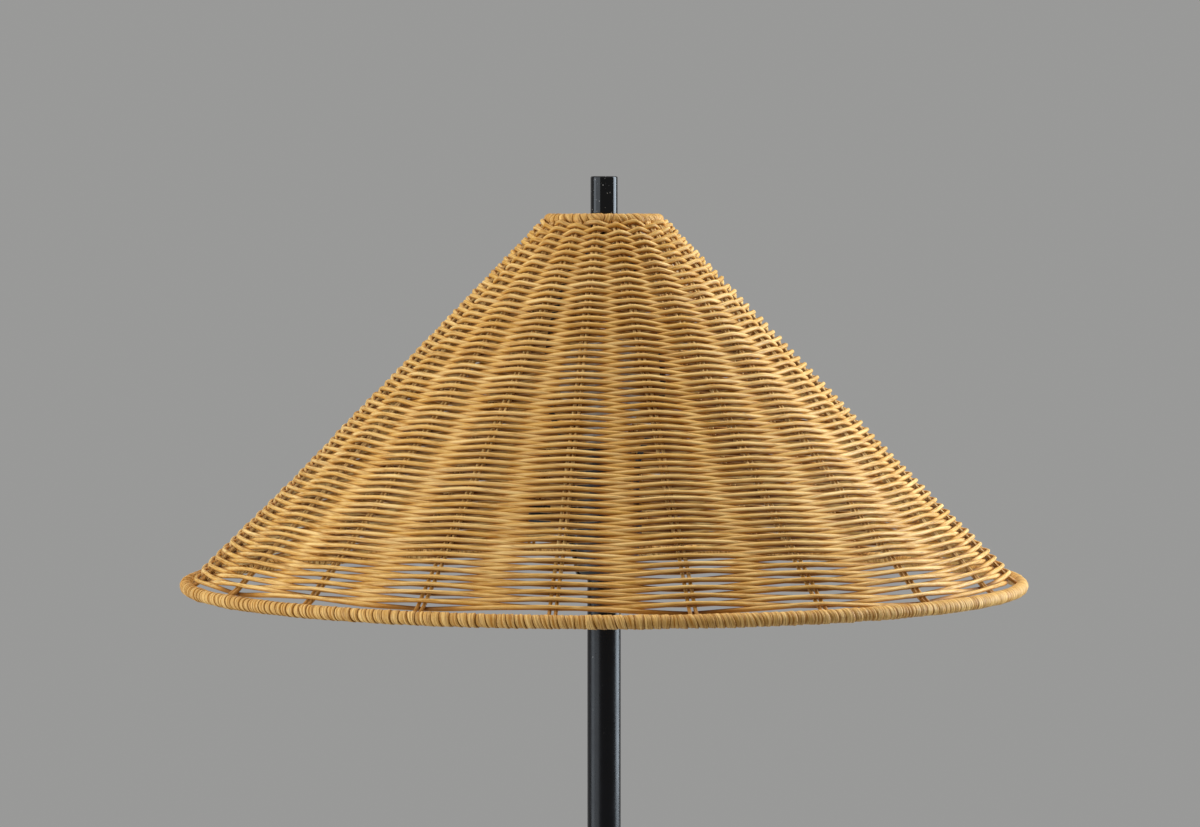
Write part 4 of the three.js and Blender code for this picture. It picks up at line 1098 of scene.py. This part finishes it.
def harp():
    """Two bent wires that meet in a boss."""
    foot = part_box("harp_frame")[0].z
    crown = foot + HARP_HEIGHT
    bulge = HARP_BELLY_HEIGHT - HARP_LEG_HEIGHT

    def at(r, z):
        return (r, 0.0, foot + z)

    belly = bezier([
        at(HARP_LEG_RADIUS, HARP_LEG_HEIGHT),
        at(HARP_LEG_RADIUS, HARP_LEG_HEIGHT + bulge / 2),
        at(HARP_BELLY_RADIUS, HARP_LEG_HEIGHT + bulge / 3),
        at(HARP_BELLY_RADIUS, HARP_BELLY_HEIGHT),
    ], BELLY_STEPS)
    shoulder = bezier([
        at(HARP_BELLY_RADIUS, HARP_BELLY_HEIGHT),
        at(HARP_BELLY_RADIUS, (HARP_BELLY_HEIGHT + HARP_HEIGHT) / 2),
        at(HARP_BELLY_RADIUS / 2, HARP_HEIGHT),
        at(BOSS_DIAMETER / 2, HARP_HEIGHT),
    ], SHOULDER_STEPS)
    half = np.vstack([[at(HARP_LEG_RADIUS, 0)], belly, shoulder[1:], [at(STUD_DIAMETER, HARP_HEIGHT)]])
    mirrored = half[::-1] * np.array((-1, 1, 1))
    wires = [rod(path, (0, 1, 0), HARP_WIRE / 2) for path in (half, mirrored)]
    boss = turned(rounded(ring_corners(
        STUD_DIAMETER / 2 + SEAT_GAP, BOSS_DIAMETER / 2,
        crown - BOSS_THICKNESS / 2, crown + BOSS_THICKNESS / 2, 2 * SOFT_EDGE,
    )))
    harp_piece("harp_wire", [*wires, boss], "harp_frame")


def sleeves():
    for side in ("left", "right"):
        node = f"harp_sleeve_{side}"
        low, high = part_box(node)
        radius = (high.x - low.x) / 2
        half_length = (high.z - low.z) / 2
        corners = ring_corners(
            HARP_WIRE / 2 + SEAT_GAP, radius, -half_length, half_length, 2 * SOFT_EDGE, SOFT_EDGE
        )
        place = Matrix.Translation((low + high) / 2)
        lathe_piece(f"{side}_sleeve_tube", corners, "harp_paint", f"{side}_sleeve", node, SMALL_STEPS, place)


def saddle():
    """A bent strip with a round plate in its middle and a pin on each arm."""
    low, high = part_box("harp_saddle")
    bottom, top = low.z, high.z
    arm_top = bottom + SADDLE_ARM_HEIGHT
    half = SADDLE_THICKNESS / 2
    middle = bottom + half
    elbow = bezier([
        (SADDLE_FOOT_RADIUS - SADDLE_BEND, 0, middle),
        (SADDLE_FOOT_RADIUS - SADDLE_BEND / 3, 0, middle),
        (SADDLE_FOOT_RADIUS, 0, middle + SADDLE_BEND / 3),
        (SADDLE_FOOT_RADIUS + SADDLE_BEND * SADDLE_ARM_LEAN, 0, middle + SADDLE_BEND),
    ], SADDLE_BEND_STEPS)
    arm = [(HARP_LEG_RADIUS, 0, arm_top - SADDLE_WIDTH), (HARP_LEG_RADIUS, 0, arm_top)]
    path = np.vstack([[(0, 0, middle)], elbow, arm])
    wide, edge = SADDLE_WIDTH / 2, SOFT_EDGE / 2
    lower = [(-wide, edge - half), (edge - wide, -half), (wide - edge, -half), (wide, edge - half)]
    section = lower + [(-y, -n) for y, n in lower]
    across = np.array((0.0, 1.0, 0.0))
    meshes = []
    for side in (1, -1):
        line = path * np.array((side, 1, 1))
        off = np.cross(unit(np.gradient(line, axis=0)), across)
        points = np.stack([line + across * y + off * n for y, n in section], 1)
        meshes.append((points.reshape(-1, 3), capped_faces(len(line), len(section))))
    meshes.append(turned(rounded(
        ring_corners(NIPPLE_HOLE_RADIUS, SADDLE_PLATE / 2, bottom, bottom + SADDLE_THICKNESS, SOFT_EDGE)
    )))
    for r in (-HARP_LEG_RADIUS, HARP_LEG_RADIUS):
        meshes.append(rod([(r, 0, arm_top - SADDLE_WIDTH / 2), (r, 0, top)], (0, 1, 0), HARP_WIRE / 2))
    harp_piece("harp_bracket", meshes, "harp_saddle")


def stud():
    _, bottom, top = span("harp_stud")
    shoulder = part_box("harp_frame")[1].z + SEAT_GAP
    shoulder_top = shoulder + STUD_SHOULDER_THICKNESS
    radius = STUD_DIAMETER / 2
    corners = [
        (0, bottom, 0),
        (RIVET_HEAD / 2, bottom, RIVET_HEAD_THICKNESS * ROUNDED_SHARE),
        (RIVET_HEAD / 2, bottom + RIVET_HEAD_THICKNESS, 0),
        (radius, bottom + RIVET_HEAD_THICKNESS, 0),
        (radius, shoulder, 0),
        (STUD_SHOULDER / 2, shoulder, SOFT_EDGE),
        (STUD_SHOULDER / 2, shoulder_top, SOFT_EDGE),
        (radius - STUD_PITCH / 2, shoulder_top, 0),
    ]
    turns = int((top - shoulder_top) / STUD_PITCH) - 1
    for i in range(2 * turns):
        depth = 0.0 if i % 2 else STUD_PITCH / 2
        corners.append((radius - depth, shoulder_top + (i + 1) * STUD_PITCH / 2, 0))
    corners += [(radius - STUD_PITCH / 2, top - SOFT_EDGE, 0), (radius - STUD_PITCH, top, 0), (0, top, 0)]
    lathe_piece("swivel_stud", corners, "brass", "swivel", "harp_stud", SMALL_STEPS)


def fitter():
    """The top ring with its hub on three arms."""
    hub_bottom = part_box("shade_fitter")[0].z
    hub_top = hub_bottom + HUB_THICKNESS
    corners = ring_corners(STUD_DIAMETER / 2 + SEAT_GAP, HUB_DIAMETER / 2, hub_bottom, hub_top, SOFT_EDGE)
    around = np.linspace(0, FULL_TURN, ROUND_STEPS + 1)[:-1]
    ring_path = outwards(around) * TOP_RING_RADIUS + UP * top_ring_height
    ring = sections(ring_path, UP, TOP_WIRE / 2, WIRE_SIDES, True)
    meshes = [
        turned(rounded(corners)),
        (ring.reshape(-1, 3), tube_faces(ROUND_STEPS, WIRE_SIDES, True).tolist()),
    ]
    foot = (HUB_DIAMETER - ARM_DIAMETER) / 2
    foot_height = (hub_bottom + hub_top) / 2
    for i in range(ARM_COUNT):
        out = outwards(np.array(ARM_START + i * FULL_TURN / ARM_COUNT))
        path = bezier([
            out * foot + UP * foot_height,
            out * (foot + ARM_HUB_REACH) + UP * (foot_height + ARM_RISE),
            out * (TOP_RING_RADIUS - ARM_RING_REACH) + UP * (top_ring_height - ARM_RISE),
            out * TOP_RING_RADIUS + UP * top_ring_height,
        ], ARM_STEPS)
        meshes.append(rod(path, np.cross(out, UP), ARM_DIAMETER / 2))
    add_piece("spider", *joined(*meshes), "fitter_steel", "shade", "shade_fitter")


def finial():
    radius, bottom, top = span("finial")
    corners = [
        (FINIAL_BORE / 2, bottom, 0),
        (radius, bottom, FINIAL_EDGE),
        (radius, top, FINIAL_EDGE),
        (0, top, 0),
        (0, bottom + FINIAL_BORE_DEPTH, 0),
        (FINIAL_BORE / 2, bottom + FINIAL_BORE_DEPTH, 0),
    ]
    outline = rounded(corners, FINIAL_EDGE_STEPS)
    add_piece("finial_bar", *turned(outline), "finial_paint", "finial", "finial")


# Stage, light and camera
def floor():
    mesh = bpy.data.meshes.new("floor")
    around = np.linspace(0, FULL_TURN, ROUND_STEPS + 1)[:-1]
    rim = [(FLOOR_RADIUS * math.cos(a), FLOOR_RADIUS * math.sin(a), 0.0) for a in around]
    mesh.from_pydata(rim, [], [list(range(ROUND_STEPS))])
    finish = Finish("floor", roughness=0.9)
    finish.set("Base Color", FLOOR_GREY)
    mesh.materials.append(finishes["floor"])
    placed("floor", mesh)


def surround():
    world = bpy.data.worlds.new("surround")
    bpy.context.scene.world = world
    world.use_nodes = True
    nodes = Nodes(world.node_tree)
    rays = nodes.node("ShaderNodeLightPath").outputs
    mirrored = nodes.math("ADD", rays["Is Glossy Ray"], rays["Is Transmission Ray"])
    seen = nodes.math("ADD", rays["Is Camera Ray"], mirrored, use_clamp=True)
    nodes.give(nodes.tree.nodes["Background"].inputs["Color"], nodes.mix(seen, DIM_LIGHT, WALL_GREY))


def panel(name, azimuth, distance, width, height, centre, power, colour, tilt=90):
    """A soft panel that faces the lamp's axis. Degrees: azimuth from -Y towards +X, tilt from downwards."""
    turn = math.radians(azimuth)
    light = bpy.data.lights.new(name, "AREA")
    light.shape = "RECTANGLE"
    light.size = width
    light.size_y = height
    light.energy = power
    light.color = colour
    lamp = placed(name, light)
    lamp.location = (distance * math.sin(turn), -distance * math.cos(turn), centre)
    lamp.rotation_euler = (math.radians(tilt), 0, turn)


def studio():
    """Pale floor and grey surround, two cool panels on the left, a bright one on the right, and a ceiling."""
    floor()
    surround()
    panel("left_panel", azimuth=-82, distance=2.0, width=1.0, height=1.9, centre=1.4,
          power=22.5, colour=(0.82, 0.91, 1.0))
    panel("left_fill_panel", azimuth=-50, distance=2.0, width=1.1, height=2.2, centre=1.5,
          power=18.5, colour=(0.84, 0.92, 1.0))
    panel("right_panel", azimuth=105, distance=2.0, width=1.2, height=2.3, centre=2.0,
          power=88, colour=(0.77, 0.89, 1.0))
    panel("ceiling_panel", azimuth=0, distance=0.0, width=3.0, height=3.0, centre=3.5,
          power=43, colour=(1.0, 0.98, 0.95), tilt=0)


def camera():
    lens = bpy.data.cameras.new("camera")
    lens.lens = LENS
    lens.sensor_width = SENSOR
    lens.sensor_fit = "HORIZONTAL"
    lens.clip_end = FARTHEST_SEEN
    view = placed("camera", lens)
    view.location = CAMERA_PLACE
    view.rotation_euler = (math.pi / 2 + CAMERA_PITCH, 0, 0)
    bpy.context.scene.camera = view


camera()
studio()
base()
gland()
pole()
socket()
knob()
bulb()
harp()
sleeves()
saddle()
stud()
fitter()
finial()
weave()
stakes()
for ring, radius, height, diameter, wraps, lean, seed in (
    ("rim", RIM_RING_RADIUS, rim_height, RIM_BINDING, RIM_WRAPS, RIM_LEAN, 5),
    ("top", TOP_RING_RADIUS, top_ring_height, TOP_BINDING, TOP_WRAPS, TOP_LEAN, 8),
):
    binding(f"{ring}_wraps", f"shade_{ring}_binding", radius, height, diameter, wraps, lean, seed)

# The frame's solids get the same finishes, as some of them show
for entry in frame["record"]["subparts"]:
    node = frame["nodes"][entry["node"]]
    node.data.materials.clear()
    node.data.materials.append(finishes[entry["material_slot"]])

bpy.context.scene.view_settings.view_transform = "Standard"
